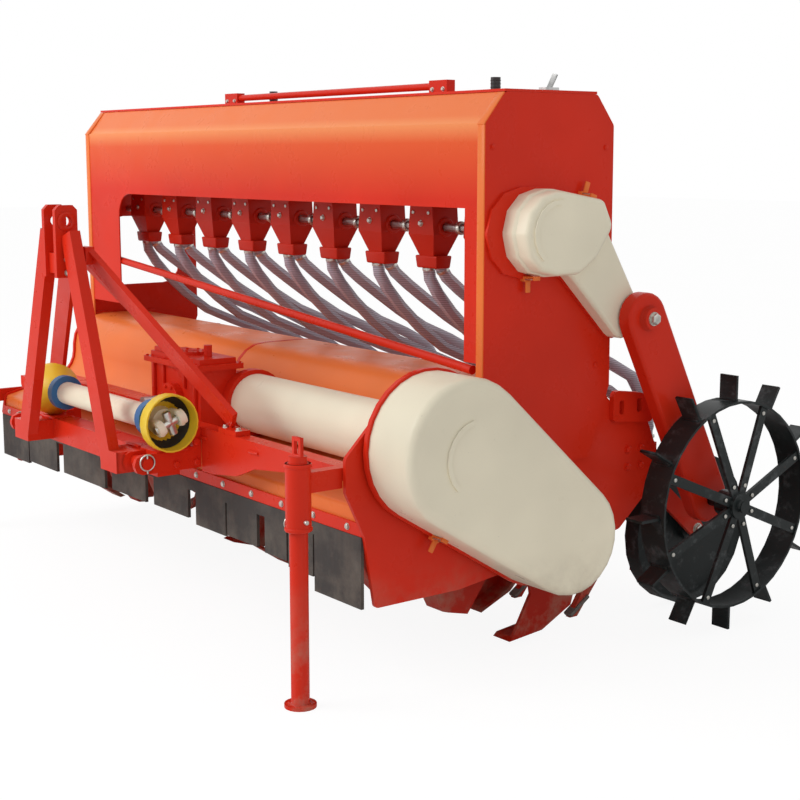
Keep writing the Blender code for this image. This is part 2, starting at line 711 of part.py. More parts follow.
def make_rotor():
    """A tube with flanges; each carries curved blades whose tips bend to one side."""
    reach = BETWEEN - 0.008
    rotor = rod((-reach, ROTOR_Y, ROTOR_Z), (reach, ROTOR_Y, ROTOR_Z), ROTOR_TUBE_R, 16)
    for side in (-1, 1):
        rotor = weld(rotor, rod((side * (reach - 0.01), ROTOR_Y, ROTOR_Z),
                                (side * (INNER - 0.001), ROTOR_Y, ROTOR_Z), STUB_AXLE_R, 20))
    last = reach - 0.014
    spacing = 2 * last / (FLANGE_COUNT - 1)
    for i in range(FLANGE_COUNT):
        x = last - i * spacing
        rotor = weld(rotor, rod((x - FLANGE_T / 2, ROTOR_Y, ROTOR_Z), (x + FLANGE_T / 2, ROTOR_Y, ROTOR_Z),
                                FLANGE_R, 12))
        for k in range(BLADES_PER_FLANGE):
            angle = END_BLADE_ANGLE + 360 * k / BLADES_PER_FLANGE + FLANGE_TWIST * i
            side = -1 if k % 2 else 1
            if i == 0:
                side = -1
            if i == FLANGE_COUNT - 1:
                side = 1
            rotor = weld(rotor, blade(x, angle, side))
    keep(rotor, "rotor", "red_paint", (0, ROTOR_Y, ROTOR_Z))


def blade(x, angle, side):
    """One blade: a web curved back from its root, its outer strip bent square to the web."""
    web = [
        # distance from the rotor's axis as a share of its radius, degrees from the root's middle
        (0.30, -15), (0.64, -18), (0.965, -34), (0.965, -15), (0.965, 9), (0.86, 20), (0.30, 15),
    ]
    edge = [(1.0, -36), (1.0, -15), (1.0, 6)]
    bm = bmesh.new()
    spots = []
    for share, turn in web + edge:
        spot = math.radians(turn - 90)
        spots.append(bm.verts.new((0, share * ROTOR_R * math.cos(spot), share * ROTOR_R * math.sin(spot))))
    root, start, middle, end, tip = spots[:7], spots[2], spots[3], spots[4], spots[7:]
    faces = [bm.faces.new(root)]
    strip = [bm.faces.new((start, tip[0], tip[1], middle)), bm.faces.new((middle, tip[1], tip[2], end))]
    bmesh.ops.recalc_face_normals(bm, faces=faces + strip)
    centres = [face.calc_center_median().copy() for face in strip]
    grown = bmesh.ops.extrude_face_region(bm, geom=faces + strip)["geom"]
    moved = [item for item in grown if isinstance(item, bmesh.types.BMVert)]
    bmesh.ops.translate(bm, vec=(side * BLADE_T, 0, 0), verts=moved)
    bent = []
    for face in [item for item in grown if isinstance(item, bmesh.types.BMFace)]:
        middle_spot = face.calc_center_median()
        if any((middle_spot.yz - centre.yz).length < 1e-4 for centre in centres):
            bent.append(face)
    grown = bmesh.ops.extrude_face_region(bm, geom=bent)["geom"]
    moved = [item for item in grown if isinstance(item, bmesh.types.BMVert)]
    bmesh.ops.translate(bm, vec=(side * (BLADE_SWEEP - BLADE_T), 0, 0), verts=moved)
    bmesh.ops.delete(bm, geom=bent, context="FACES_ONLY")
    turn = Matrix.Rotation(math.radians(angle - 180), 4, "X")
    place = Matrix.Translation((x + side * (FLANGE_T / 2 - 0.001), ROTOR_Y, ROTOR_Z)) @ turn
    bmesh.ops.transform(bm, matrix=place, verts=bm.verts)
    return object_from(bm)


def make_hopper():
    front = plate(FACE_Y, [
        [(-INNER, FRONT_SHEET_FOOT), (-INNER, HOPPER_SHOULDER), (INNER, HOPPER_SHOULDER),
         (INNER, FRONT_SHEET_FOOT), (WINDOW_RIGHT, FRONT_SHEET_FOOT), (WINDOW_RIGHT, WINDOW_TOP)]
        + arc((WINDOW_LEFT + WINDOW_CORNER_R, WINDOW_TOP - WINDOW_CORNER_R), WINDOW_CORNER_R, 90, 180, 6)
        + [(WINDOW_LEFT, FRONT_SHEET_FOOT)],
    ], 0.0, SHEET_T)
    keep(front, "hopper_front", "red_paint")
    wall = SHEET_T
    top = HOPPER_TOP - GAP
    start = SHEET_T + GAP
    back = HOPPER_DEPTH - 0.006
    rear_top = HOPPER_DEPTH - REAR_CHAMFER_DEPTH - 0.006
    bend = TANK_FLOOR + FUNNEL_HEIGHT
    floor = (FEED_Y - TANK_FLOOR_HALF, FEED_Y + TANK_FLOOR_HALF)
    outer = [(CHAMFER_DEPTH, top), (start, HOPPER_SHOULDER), (start, bend), (floor[0], TANK_FLOOR),
             (floor[1], TANK_FLOOR), (back, bend), (back, HOPPER_SHOULDER - 0.003), (rear_top, top)]
    inner = [(CHAMFER_DEPTH + 0.002, top + 0.01), (CHAMFER_DEPTH + 0.002, top - wall),
             (start + wall, HOPPER_SHOULDER), (start + wall, bend + 0.002),
             (floor[0] + 0.002, TANK_FLOOR + wall), (floor[1] - 0.002, TANK_FLOOR + wall),
             (back - wall, bend + 0.003), (back - wall, HOPPER_SHOULDER - 0.004),
             (rear_top - 0.002, top - wall), (rear_top - 0.002, top + 0.01)]
    tank = plate(FACE_X, [outer], -INNER, INNER)
    tank = cut(tank, plate(FACE_X, [inner], -INNER + wall, INNER - wall))
    keep(tank, "hopper_tank", "red_paint")


def make_lid():
    hinge = (0, HOPPER_DEPTH - REAR_CHAMFER_DEPTH - 0.001, HOPPER_TOP + LID_T)
    low = HOPPER_TOP + GAP
    lid = box((-HALF_WIDTH, HALF_WIDTH), (CHAMFER_DEPTH - 0.002, hinge[1] - 0.001), (low, low + LID_T))
    keep(lid, "lid", "red_paint", hinge)
    base = low + LID_T + GAP
    rail_z = HOPPER_TOP + LID_RAIL_RISE
    left, right = LID_LUGS
    rail = rod((left, LID_RAIL_Y, rail_z), (right, LID_RAIL_Y, rail_z), LID_RAIL_R, 12)
    for x in LID_LUGS:
        rail = weld(rail, box((x - LID_LUG_W / 2, x + LID_LUG_W / 2), (LID_RAIL_Y - 0.013, LID_RAIL_Y + 0.013),
                              (base, rail_z + 0.014)))
    keep(rail, "lid_rail", "red_paint", hinge)
    for name, x in zip(("lid_knob_left", "lid_knob_right"), LID_KNOBS):
        y = LID_RAIL_Y + 0.045
        keep(rod((x, y, base), (x, y, base + KNOB_HEIGHT), KNOB_R, 16), name, "knob_black", hinge)
    x = HALF_WIDTH - 0.018
    foot = box((x - 0.012, x + 0.012), (LID_RAIL_Y - 0.02, LID_RAIL_Y + 0.02), (base, base + 0.006))
    lever = bar((x, LID_RAIL_Y, base + 0.003), (x + 0.008, LID_RAIL_Y + 0.012, base + 0.036), 0.014, 0.005)
    keep(weld(foot, lever), "lid_lever", "steel", hinge)


def make_feed_cups():
    """The cups hang from a carrier under the tank floor; the feed shaft runs through them."""
    top = TANK_FLOOR - GAP
    cups = box((-INNER, INNER), (FEED_Y - TANK_FLOOR_HALF, FEED_Y + TANK_FLOOR_HALF), (top - CARRIER_T, top))
    foot = TANK_FLOOR - CUP_BODY_DROP
    half, mouth = CUP_WIDTH / 2, CUP_MOUTH_HALF
    for x in row_places():
        front = [(x - half, foot), (x - mouth, CUP_FOOT), (x + mouth, CUP_FOOT), (x + half, foot),
                 (x + half * 0.86, top - CARRIER_T / 2), (x - half * 0.86, top - CARRIER_T / 2)]
        body = plate(FACE_Y, [front], FEED_Y - CUP_DEPTH / 2, FEED_Y + CUP_DEPTH / 2)
        for side in (-1, 1):
            slope = box((x - half - 0.01, x + half + 0.01), (0, 0.06), (CUP_FOOT - 0.01, foot + 0.02))
            lean = math.atan2(CUP_DEPTH / 2 - mouth * 0.8, foot - CUP_FOOT)
            slope.data.transform(Matrix.Translation((0, 0, -foot)))
            place = Matrix.Translation((0, FEED_Y + side * CUP_DEPTH / 2, foot))
            if side < 0:
                slope.data.transform(Matrix.Translation((0, -0.06, 0)))
            slope.data.transform(place @ Matrix.Rotation(-side * lean, 4, "X"))
            body = cut(body, slope)
        cups = weld(cups, body)
    bore = rod((-INNER - 0.01, FEED_Y, FEED_Z), (INNER + 0.01, FEED_Y, FEED_Z), FEED_SHAFT_R + RUN, 12)
    keep(cut(cups, bore), "feed_cups", "red_paint")
    shaft = rod((-INNER, FEED_Y, FEED_Z), (CASE_BACK + PAN_T + 0.03, FEED_Y, FEED_Z), FEED_SHAFT_R, 12)
    keep(shaft, "feed_shaft", "steel", (0, FEED_Y, FEED_Z))


def make_openers():
    """The rear toolbar with a shank, point and seed boot for each row, and the depth wheels' arms."""
    y0, y1 = TOOLBAR_Y - TOOLBAR_SIZE / 2, TOOLBAR_Y + TOOLBAR_SIZE / 2
    z0, z1 = TOOLBAR_Z - TOOLBAR_SIZE / 2, TOOLBAR_Z + TOOLBAR_SIZE / 2
    toolbar = box((-BETWEEN, BETWEEN), (y0, y1), (z0, z1))
    front = y0 + 0.037
    shank = rounded([
        (front, z0 + 0.02, 0.0), (front + 0.038, z0 + 0.02, 0.0), (front + 0.058, 0.33, 0.0),
        (front + 0.058, 0.14, 0.04), (front - 0.057, 0.0, 0.0), (front - 0.082, 0.0, 0.0),
        (front - 0.002, 0.12, 0.06),
    ], 2)
    for x in row_places():
        toolbar = weld(toolbar, plate(FACE_X, [shank], x - SHANK_T / 2, x + SHANK_T / 2))
        toolbar = weld(toolbar, box((x - BOOT_WIDTH / 2, x + BOOT_WIDTH / 2),
                                    (BOOT_Y - BOOT_DEPTH / 2, BOOT_Y + BOOT_DEPTH / 2), (0.30, BOOT_TOP)))
        toolbar = weld(toolbar, box((x - 0.016, x + 0.016), (BOOT_Y - 0.014, BOOT_Y + 0.014), (BOOT_FOOT, 0.31)))
        toolbar = weld(toolbar, box((x - SHANK_T / 2, x + SHANK_T / 2), (front + 0.03, BOOT_Y), (0.26, 0.33)))
    wheel_x = HALF_WIDTH - DEPTH_WHEEL_X
    inner = wheel_x + DEPTH_WHEEL_W / 2 + 0.008
    for side in (-1, 1):
        low, high = sorted((side * inner, side * (inner + DEPTH_ARM_T)))
        hub = (DEPTH_WHEEL_Y, DEPTH_WHEEL_R)
        arm = plate(FACE_X, [belt_outline((TOOLBAR_Y + 0.012, TOOLBAR_Z), DEPTH_ARM_W * 0.5, hub,
                                          DEPTH_ARM_W * 0.49, 5)], low, high)
        pin = rod((side * (inner + DEPTH_ARM_T / 2), *hub), (side * (wheel_x - DEPTH_WHEEL_W / 2 - 0.004), *hub),
                  DEPTH_AXLE_R, 16)
        toolbar = weld(toolbar, arm, pin)
    keep(toolbar, "opener_bar", "red_paint")


def make_depth_wheels():
    """Narrow iron wheels behind the openers at both ends."""
    half = DEPTH_WHEEL_W / 2
    bore = DEPTH_AXLE_R + RUN
    profile = [(bore, -half), (0.034, -half), (0.036, -0.004), (DEPTH_WHEEL_R - 0.014, -0.004),
               (DEPTH_WHEEL_R, -half), (DEPTH_WHEEL_R, half), (DEPTH_WHEEL_R - 0.014, 0.004), (0.036, 0.004),
               (0.034, half), (bore, half)]
    for name, side in (("depth_wheel_right", 1), ("depth_wheel_left", -1)):
        centre = (side * (HALF_WIDTH - DEPTH_WHEEL_X), DEPTH_WHEEL_Y, DEPTH_WHEEL_R)
        keep(turned(profile, centre, (side, 0, 0), 24), name, "wheel_iron", centre)


def make_hoses():
    """Two hoses for each row leave a common socket under the cup and end side by side on the boot."""
    drop = CUP_FOOT - GAP - SOCKET_HEIGHT
    end_z = BOOT_TOP + GAP
    fall, run = drop - end_z, BOOT_Y - FEED_Y
    # share of the run to the rear, share of the fall
    slack = ((0.01, 0.07), (0.14, 0.26), (0.42, 0.52), (0.80, 0.70))
    taut = ((0.05, 0.06), (0.24, 0.22), (0.54, 0.44), (0.88, 0.62))
    for i, x in enumerate(row_places()):
        socket = box((x - 0.038, x + 0.038), (FEED_Y - 0.021, FEED_Y + 0.021), (drop, CUP_FOOT - GAP))
        for side, bends in ((-1, slack), (1, taut)):
            across = x + side * HOSE_APART / 2
            route = [(across, FEED_Y, drop + 0.01)]
            route += [(across, FEED_Y + run * back, drop - fall * down) for back, down in bends]
            route += [(across, BOOT_Y, end_z + 0.06), (across, BOOT_Y, end_z + 0.03), (across, BOOT_Y, end_z)]
            socket = weld(socket, pipe(route, HOSE_R, 1, 2))
        keep(socket, f"seed_hose_{i + 1}", "hose")


def make_brace():
    y = SHEET_T + GAP + BRACE_R
    start = (WINDOW_LEFT - 0.06, y, BRACE_FOOT + BRACE_RISE)
    end = (INNER - 0.05, y, BRACE_FOOT)
    keep(rod(start, end, BRACE_R, 12), "window_bar", "red_paint")


def neck_corners(front, lift, spread):
    """The feed drive housing's outline: round over the feed shaft, then a neck to the arm's pivot."""
    y, z, r = FEED_Y, FEED_Z, UPPER_COVER_R + lift
    return rounded([
        (y - r - front, z + r, r - 0.004), (y - r - front, z - r, r - 0.004),
        (y + 0.075, z - r, 0.025),
        (ARM_PIVOT_Y - 0.045, ARM_PIVOT_Z - 0.055 - spread, 0.036 + spread),
        (ARM_PIVOT_Y + 0.046 + spread, ARM_PIVOT_Z - 0.022, 0.036 + spread),
        (y + 0.183 + lift, z + 0.010, 0.03), (y + 0.150 + lift, z + 0.076 + lift, 0.015),
        (y + 0.02, z + r, 0.05),
    ], 3)


def make_feed_drive():
    hole = circle((FEED_Y, FEED_Z), FEED_SHAFT_R + 0.002, 16)
    pan = plate(FACE_X, [neck_corners(PAN_REACH, 0.004, 0.004), hole], CASE_BACK, CASE_BACK + PAN_T)
    pivot = (ARM_PIVOT_Y, ARM_PIVOT_Z)
    pin = rod((CASE_BACK + 0.002, *pivot), (ARM_X + ARM_T - 0.004, *pivot), ARM_PIVOT_R, 24)
    keep(weld(pan, pin), "feed_drive_pan", "red_paint")
    start = CASE_BACK + PAN_T + GAP
    face = HALF_WIDTH + UPPER_COVER_DEPTH
    cover = soften_face(plate(FACE_X, [neck_corners(0, 0, 0)], start, face), face, 0.010, 2)
    y, z, r = FEED_Y, FEED_Z, UPPER_COVER_R - 0.0045
    drum = rounded([
        (y - r, z + r, r - 0.004), (y - r, z - r, r - 0.004), (y + 0.070, z - r, 0.03),
        (y + 0.120, z - 0.060, 0.04), (y + 0.172, z + 0.012, 0.03), (y + 0.141, z + 0.073, 0.015),
        (y + 0.02, z + r, 0.05),
    ], 3)
    top = face + DRUM_RISE
    drum = soften_face(plate(FACE_X, [drum], start + 0.01, top), top, 0.014, 2)
    cover = weld(cover, drum)
    arch = emboss((FEED_Y, FEED_Z), UPPER_COVER_R - 0.028, 85, 230, top)
    hollow = rod((start - 0.01, FEED_Y, FEED_Z), (face - 0.01, FEED_Y, FEED_Z), 0.03, 12)
    bore = rod((start - 0.01, *pivot), (face + 0.01, *pivot), ARM_PIVOT_R + GAP, 24)
    keep(cut(weld(cover, arch), hollow, bore), "feed_drive_cover", "cream_paint")


def make_arm_guide():
    """A slotted bracket behind the hopper, beside the arm."""
    corners = [(HOPPER_DEPTH + 0.012, 0.605, 0.015), (0.500, 0.592, 0.02), (0.545, 0.545, 0.02), (0.535, 0.515, 0.015),
               (HOPPER_DEPTH + 0.012, 0.530, 0.01)]
    slots = []
    for y in (0.430, 0.490):
        slots.append(rounded([(y - 0.008, 0.545, 0.007), (y - 0.008, 0.580, 0.007),
                              (y + 0.008, 0.578, 0.007), (y + 0.008, 0.543, 0.007)], 3))
    guide = plate(FACE_X, [rounded(corners, 3), *slots], INNER + GAP, CASE_BACK + 0.008)
    keep(guide, "arm_guide", "red_paint")


def make_wheel_arm():
    pivot, foot = (ARM_PIVOT_Y, ARM_PIVOT_Z), (WHEEL_Y, WHEEL_Z)
    face = ARM_X + ARM_T
    arm = soften_face(plate(FACE_X, [belt_outline(pivot, ARM_R, foot, ARM_R * 0.98, 8)], ARM_X, face), face, ARM_EDGE_R, 2)
    boss = rod((face - 0.002, *pivot), (face + 0.016, *pivot), 0.032, 24, 0.026)
    arm = weld(arm, boss)
    pin_bore = rod((ARM_X - 0.01, *pivot), (face - 0.0035, *pivot), ARM_PIVOT_R + RUN, 24)
    axle_bore = rod((ARM_X - 0.01, *foot), (face + 0.01, *foot), AXLE_R + RUN, 20)
    keep(cut(arm, pin_bore, axle_bore), "wheel_arm", "red_paint", (ARM_X, *pivot))


def make_ground_wheel():
    centre = (WHEEL_Y, WHEEL_Z)
    x0, x1 = WHEEL_BAND_X, WHEEL_BAND_X + WHEEL_BAND_W
    wheel = plate(FACE_X, [circle(centre, WHEEL_RIM_R, 40), circle(centre, WHEEL_RIM_R - WHEEL_BAND_T, 40)], x0, x1)
    hub = rod((HUB_FACE_X - HUB_LENGTH, *centre), (HUB_FACE_X, *centre), HUB_R, 24)
    axle = rod((ARM_X, *centre), (HUB_FACE_X + AXLE_END, *centre), AXLE_R, 20)
    hub = weld_fine(hub, axle)
    middle = Vector((0, *centre))
    for i in range(SPOKE_COUNT):
        angle = math.tau * (i + 0.5) / SPOKE_COUNT
        away = Vector((0, math.cos(angle), math.sin(angle)))
        start = middle + away * (HUB_R - 0.01) + Vector((HUB_FACE_X - 0.012, 0, 0))
        end = middle + away * (WHEEL_RIM_R - WHEEL_BAND_T / 2) + Vector((x1 - 0.008, 0, 0))
        hub = weld_fine(hub, bar(start, end, 0.008, SPOKE_W, (1, 0, 0)))
    wheel = weld_fine(wheel, hub)
    for i in range(LUG_COUNT):
        lug = box(((x0 + x1 - LUG_W) / 2, (x0 + x1 + LUG_W) / 2), (-LUG_T / 2, LUG_T / 2),
                  (-WHEEL_R, -WHEEL_RIM_R + WHEEL_BAND_T / 2))
        turn = Matrix.Rotation(math.tau * i / LUG_COUNT, 4, "X")
        lug.data.transform(Matrix.Translation((0, *centre)) @ turn)
        wheel = weld_fine(wheel, lug)
    keep(wheel, "ground_wheel", "wheel_iron", (x0, *centre))


def make_headstock():
    """Crossbar, lower hitch ears with pins, and the mast, welded together."""
    low = CROSSBAR_TOP - CROSSBAR_SIZE
    reach = PIN_X + EAR_SPREAD + EAR_T / 2
    frame = box((-reach + 0.001, reach - 0.001), (CROSSBAR_FRONT, CROSSBAR_FRONT + CROSSBAR_SIZE), (low, CROSSBAR_TOP))
    back = RAIL_Y - RAIL_DEPTH / 2 - GAP
    ear = rounded([(back, low + 0.01, 0.0), (back, RAIL_Z + RAIL_HEIGHT / 2, 0.0),
                   (-0.385, RAIL_Z + RAIL_HEIGHT / 2, 0.0), (-0.394, CROSSBAR_TOP - 0.002, 0.0),
                   (PIN_Y - EAR_R, PIN_Z + 0.022, 0.02), (PIN_Y - EAR_R, low + 0.01, 0.02)], 2)
    plate_x = MAST_GAP + MAST_PLATE_T
    y0, y1 = LEG_Y - MAST_DEPTH / 2, LEG_Y + MAST_DEPTH / 2
    lug = rounded([(y0, MAST_PIN_Z - 0.14, 0.0), (y1, MAST_PIN_Z - 0.14, 0.0),
                   (y1, MAST_PIN_Z + MAST_TOP_EDGE, 0.012), (y0, MAST_PIN_Z + MAST_TOP_EDGE, 0.012)], 1)
    for side in (-1, 1):
        for shift in (-EAR_SPREAD, EAR_SPREAD):
            x = side * PIN_X + shift
            frame = weld(frame, plate(FACE_X, [ear], x - EAR_T / 2, x + EAR_T / 2))
        x0, x1 = side * PIN_X - EAR_SPREAD - 0.012, side * PIN_X + EAR_SPREAD + 0.012
        frame = weld(frame, rod((x0, PIN_Y, PIN_Z), (x1, PIN_Y, PIN_Z), PIN_R, 12))
        block = box(sorted((side * (MAST_FOOT_X - 0.03), side * (MAST_FOOT_X + 0.056))),
                    (LEG_Y - LEG_T / 2, CROSSBAR_FRONT + 0.005), (low + 0.005, CROSSBAR_TOP - 0.003))
        frame = weld(frame, block)
        foot = (side * MAST_FOOT_X, LEG_Y, low + 0.02)
        top = (side * (plate_x + LEG_W / 2 - 0.006), LEG_Y, MAST_PIN_Z - 0.03)
        frame = weld(frame, bar(foot, top, LEG_W, LEG_T))
        x = side * (MAST_GAP + MAST_PLATE_T / 2)
        frame = weld(frame, plate(FACE_X, [lug, circle((LEG_Y, MAST_PIN_Z), MAST_PIN_R, 16)],
                                  x - MAST_PLATE_T / 2, x + MAST_PLATE_T / 2))
    spacer = box((-MAST_GAP - 0.004, MAST_GAP + 0.004), (LEG_Y - 0.02, LEG_Y + 0.02),
                 (MAST_PIN_Z - 0.13, MAST_PIN_Z - 0.08))
    keep(weld(frame, spacer), "headstock", "red_paint")


def make_stays():
    """Two stays from the mast to the front rail and one to the gearbox."""
    rail_top = RAIL_Z + RAIL_HEIGHT / 2 + GAP
    back = LEG_Y + MAST_DEPTH / 2 + GAP
    head_z = MAST_PIN_Z - 0.085
    for name, side in (("stay_right", 1), ("stay_left", -1)):
        head = box(sorted((side * 0.030, side * 0.080)), (back, back + 0.024), (head_z - 0.022, head_z + 0.022))
        stay = bar((side * 0.056, back + 0.020, head_z), (side * STAY_FOOT_X, RAIL_Y, rail_top + 0.030), STAY_W, STAY_T)
        foot = box(sorted((side * (STAY_FOOT_X - 0.04), side * (STAY_FOOT_X + 0.04))),
                   (RAIL_Y - 0.020, RAIL_Y + 0.020), (rail_top, rail_top + 0.012))
        keep(weld(foot, stay, head), name, "red_paint")
    roof = DRIVE_Z + GEARBOX_RISE
    spot_x, spot_y = GEARBOX_X - 0.085, GEARBOX_FRONT + 0.025
    foot = box((spot_x - 0.03, spot_x + 0.03), (spot_y - 0.022, spot_y + 0.022), (roof + GAP, roof + 0.012))
    head = box((-0.026, 0.026), (back, back + 0.022), (head_z - 0.018, head_z + 0.018))
    stay = bar((0, back + 0.014, head_z), (spot_x, spot_y, roof + 0.016), 0.036, 0.012)
    keep(weld(foot, stay, head), "stay_middle", "red_paint")


def make_cardan():
    """The cardan shaft lies across the crossbar, with a guard bell and a collar at each end."""
    y, z = CROSSBAR_Y, CARDAN_Z
    inset = BELL_LENGTH + COLLAR_LENGTH + 2 * GAP
    tube = rod((BELL_LEFT_X + inset, y, z), (BELL_RIGHT_X - inset, y, z), CARDAN_TUBE_R, 20)
    keep(tube, "cardan_tube", "cream_paint")
    bell = [(0.0, 0.0), (BELL_NECK_R, 0.0), (BELL_NECK_R, 0.018), (BELL_R, 0.052), (BELL_R, BELL_LENGTH),
            (BELL_R - BELL_WALL, BELL_LENGTH), (BELL_R - BELL_WALL, 0.053), (BELL_NECK_R - BELL_WALL, 0.020),
            (0.0, 0.020)]
    for side, x, way in (("right", BELL_RIGHT_X, 1), ("left", BELL_LEFT_X, -1)):
        neck = x - way * BELL_LENGTH
        keep(turned(bell, (neck, y, z), (way, 0, 0), 24), f"guard_{side}", "guard_yellow")
        start = neck - way * GAP
        keep(rod((start, y, z), (start - way * COLLAR_LENGTH, y, z), COLLAR_R, 24), f"collar_{side}", "guard_blue")


def make_stands():
    """A round leg in a sleeve at each front corner, each with a wire handle."""
    for name, side in (("right", 1), ("left", -1)):
        x = side * STAND_X
        leg = rod((x, STAND_Y, FOOT_T / 2), (x, STAND_Y, STAND_TOP), STAND_R, 20)
        foot = rod((x, STAND_Y, 0), (x, STAND_Y, FOOT_T), FOOT_R, 20)
        half = STAND_R - HANDLE_R
        handle = box((x - half, x + half), (STAND_Y - HANDLE_R, STAND_Y + HANDLE_R),
                     (STAND_TOP - 0.005, STAND_TOP + HANDLE_RISE))
        opening = box((x - half + 2 * HANDLE_R, x + half - 2 * HANDLE_R), (STAND_Y - 0.01, STAND_Y + 0.01),
                      (STAND_TOP + 0.004, STAND_TOP + HANDLE_RISE - 2 * HANDLE_R))
        keep(weld(leg, foot, cut(handle, opening)), f"stand_{name}", "red_paint", (x, STAND_Y, 0))
        outer_r = STAND_R + RUN + SLEEVE_WALL
        sleeve = rod((x, STAND_Y, SLEEVE_FOOT), (x, STAND_Y, SLEEVE_TOP), outer_r, 20)
        if side > 0:
            arm = box((x - 0.014, x + 0.014), (STAND_Y + 0.01, RAIL_Y - RAIL_DEPTH / 2 - GAP),
                      (RAIL_Z - 0.03, RAIL_Z + RAIL_HEIGHT / 2))
        else:
            arm = box((-HALF_WIDTH, -INNER - GAP), (STAND_Y - 0.01, BEAM_BACK), (SLEEVE_FOOT + 0.005, SLEEVE_FOOT + 0.045))
            arm = weld(arm, box((-HALF_WIDTH, x), (STAND_Y - 0.01, STAND_Y + 0.01),
                                (SLEEVE_FOOT + 0.005, SLEEVE_FOOT + 0.045)))
        sleeve = weld(sleeve, arm)
        bore = rod((x, STAND_Y, SLEEVE_FOOT - 0.01), (x, STAND_Y, SLEEVE_TOP + 0.01), STAND_R + RUN, 20)
        keep(cut(sleeve, bore), f"stand_sleeve_{name}", "red_paint")


clear_scene()
PARTS = make_collection("seed_drill")
SHOP = make_collection("cutters")
MATERIALS = make_materials()
MACHINE = bpy.data.objects.new("machine", None)
PARTS.objects.link(MACHINE)
MACHINE.location = (
    -(HUB_FACE_X + AXLE_END - HALF_WIDTH) / 2,
    -(FRONT_Y + WHEEL_Y + WHEEL_R) / 2,
    0.0,
)
make_side_plates()
make_rotor_sides()
make_hood()
make_front_rail()
make_flaps()
make_gearbox()
make_gear_case()
make_rotor()
make_hopper()
make_lid()
make_feed_cups()
make_openers()
make_depth_wheels()
make_hoses()
make_brace()
make_feed_drive()
make_arm_guide()
make_wheel_arm()
make_ground_wheel()
make_headstock()
make_stays()
make_cardan()
make_stands()
bpy.context.view_layer.update()
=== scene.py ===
"""Looks of the seed drill: paints, fasteners, latches, hoses and the studio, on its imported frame."""
import json
import math

import bmesh
import bpy
from mathutils import Matrix, Vector


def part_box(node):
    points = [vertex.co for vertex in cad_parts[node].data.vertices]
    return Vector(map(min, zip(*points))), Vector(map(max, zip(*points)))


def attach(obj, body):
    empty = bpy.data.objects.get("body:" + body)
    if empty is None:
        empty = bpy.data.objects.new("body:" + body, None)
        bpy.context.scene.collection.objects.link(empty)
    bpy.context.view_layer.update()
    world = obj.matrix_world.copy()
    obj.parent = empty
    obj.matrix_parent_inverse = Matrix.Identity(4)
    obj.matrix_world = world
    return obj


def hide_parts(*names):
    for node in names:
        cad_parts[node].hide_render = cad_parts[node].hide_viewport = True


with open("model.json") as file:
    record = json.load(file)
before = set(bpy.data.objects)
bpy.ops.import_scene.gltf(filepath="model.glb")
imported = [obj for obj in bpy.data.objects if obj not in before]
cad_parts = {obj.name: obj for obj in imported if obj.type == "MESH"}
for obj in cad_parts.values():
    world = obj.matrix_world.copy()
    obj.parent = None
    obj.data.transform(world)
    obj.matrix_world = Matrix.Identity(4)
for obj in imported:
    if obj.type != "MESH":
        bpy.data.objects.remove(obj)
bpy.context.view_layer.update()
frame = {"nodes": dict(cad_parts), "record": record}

bl_info = {
    "name": "Seed Drill",
    "version": (1, 0, 0),
    "blender": (4, 5, 0),
    "location": "View3D > Sidebar > Seed Drill",
    "description": "Dresses a rotary tiller seed drill and sets up a studio for it",
    "category": "Object",
}

# From the machine's own axes (X from its centre plane, Y from the hopper's front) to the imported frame's
LID_LOW, LID_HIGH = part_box("lid")
SHIFT = Vector(((LID_LOW.x + LID_HIGH.x) / 2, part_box("hopper_side_right")[0].y, 0.0))


def corners(node):
    """A CAD node's lowest and highest corners on the machine's own axes."""
    low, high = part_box(node)
    return low - SHIFT, high - SHIFT


def centre(node):
    low, high = corners(node)
    return (low + high) / 2


# Directions
RIGHT = (1, 0, 0)
FORWARD = (0, -1, 0)
REARWARD = (0, 1, 0)
UP = (0, 0, 1)

# Faces and axes of the machine, in metres on its own axes; the last three are places in Y and Z
HOPPER_SIDE = corners("hopper_side_right")[1].x
ROTOR_SIDE = corners("rotor_side_right")[1].x
FEED_AXIS = centre("feed_shaft")
CARDAN_AXIS = centre("cardan_tube")
WHEEL_AXIS = centre("ground_wheel")
DEPTH_AXIS = centre("depth_wheel_right")
INPUT_AXIS = centre("input_shaft")
STAND = centre("stand_right")
ROTOR_AXIS = (0.15, 0.305)
ARM_PIN = (0.425, 0.785)
HITCH_PIN = (-0.518, 0.435)

# Seed rows, and the two hoses of each
ROW_COUNT = 9
ROW_SPACING = 0.2125
ROWS = tuple((i - ROW_COUNT // 2) * ROW_SPACING for i in range(ROW_COUNT))
HOSE_ASIDE = 0.02

# The camera as solved from the photo, on the machine's own axes: metres, and degrees about X, Y and Z
CAMERA_SPOT = (3.519, -2.129, 1.158)
CAMERA_TURN = (80.737, 0.0, 53.039)
SENSOR_WIDTH = 36.0

# Colours that no user changes
SOIL_DUST = (0.33, 0.26, 0.19)
FLAP_DUST = (0.2, 0.165, 0.13)
RUBBED_IRON = (0.16, 0.17, 0.175)
RUST = (0.13, 0.05, 0.022)
WHITE = (1.0, 1.0, 1.0, 1.0)

# The hopper's front is painted lighter and more orange upwards, a painted highlight for a reflection in
# its
# gloss: from height, to height, colour. The painted highlight ends between two places in depth, just
# behind the chamfer. Heights and depths are the imported frame's.
FRONT_HIGHLIGHT = (
    (1.06, 1.19, (0.80, 0.105, 0.025)),
    (1.19, 1.232, (0.92, 0.31, 0.11)),
    (1.232, 1.25, (0.86, 0.205, 0.06)),
)
HIGHLIGHT_ENDS = (-0.143, -0.135)


# Node helpers

def new_material(name):
    material = bpy.data.materials.new(name)
    material.use_nodes = True
    tree = material.node_tree
    return material, tree, tree.nodes["Principled BSDF"]


def link(tree, source, target):
    tree.links.new(source, target)


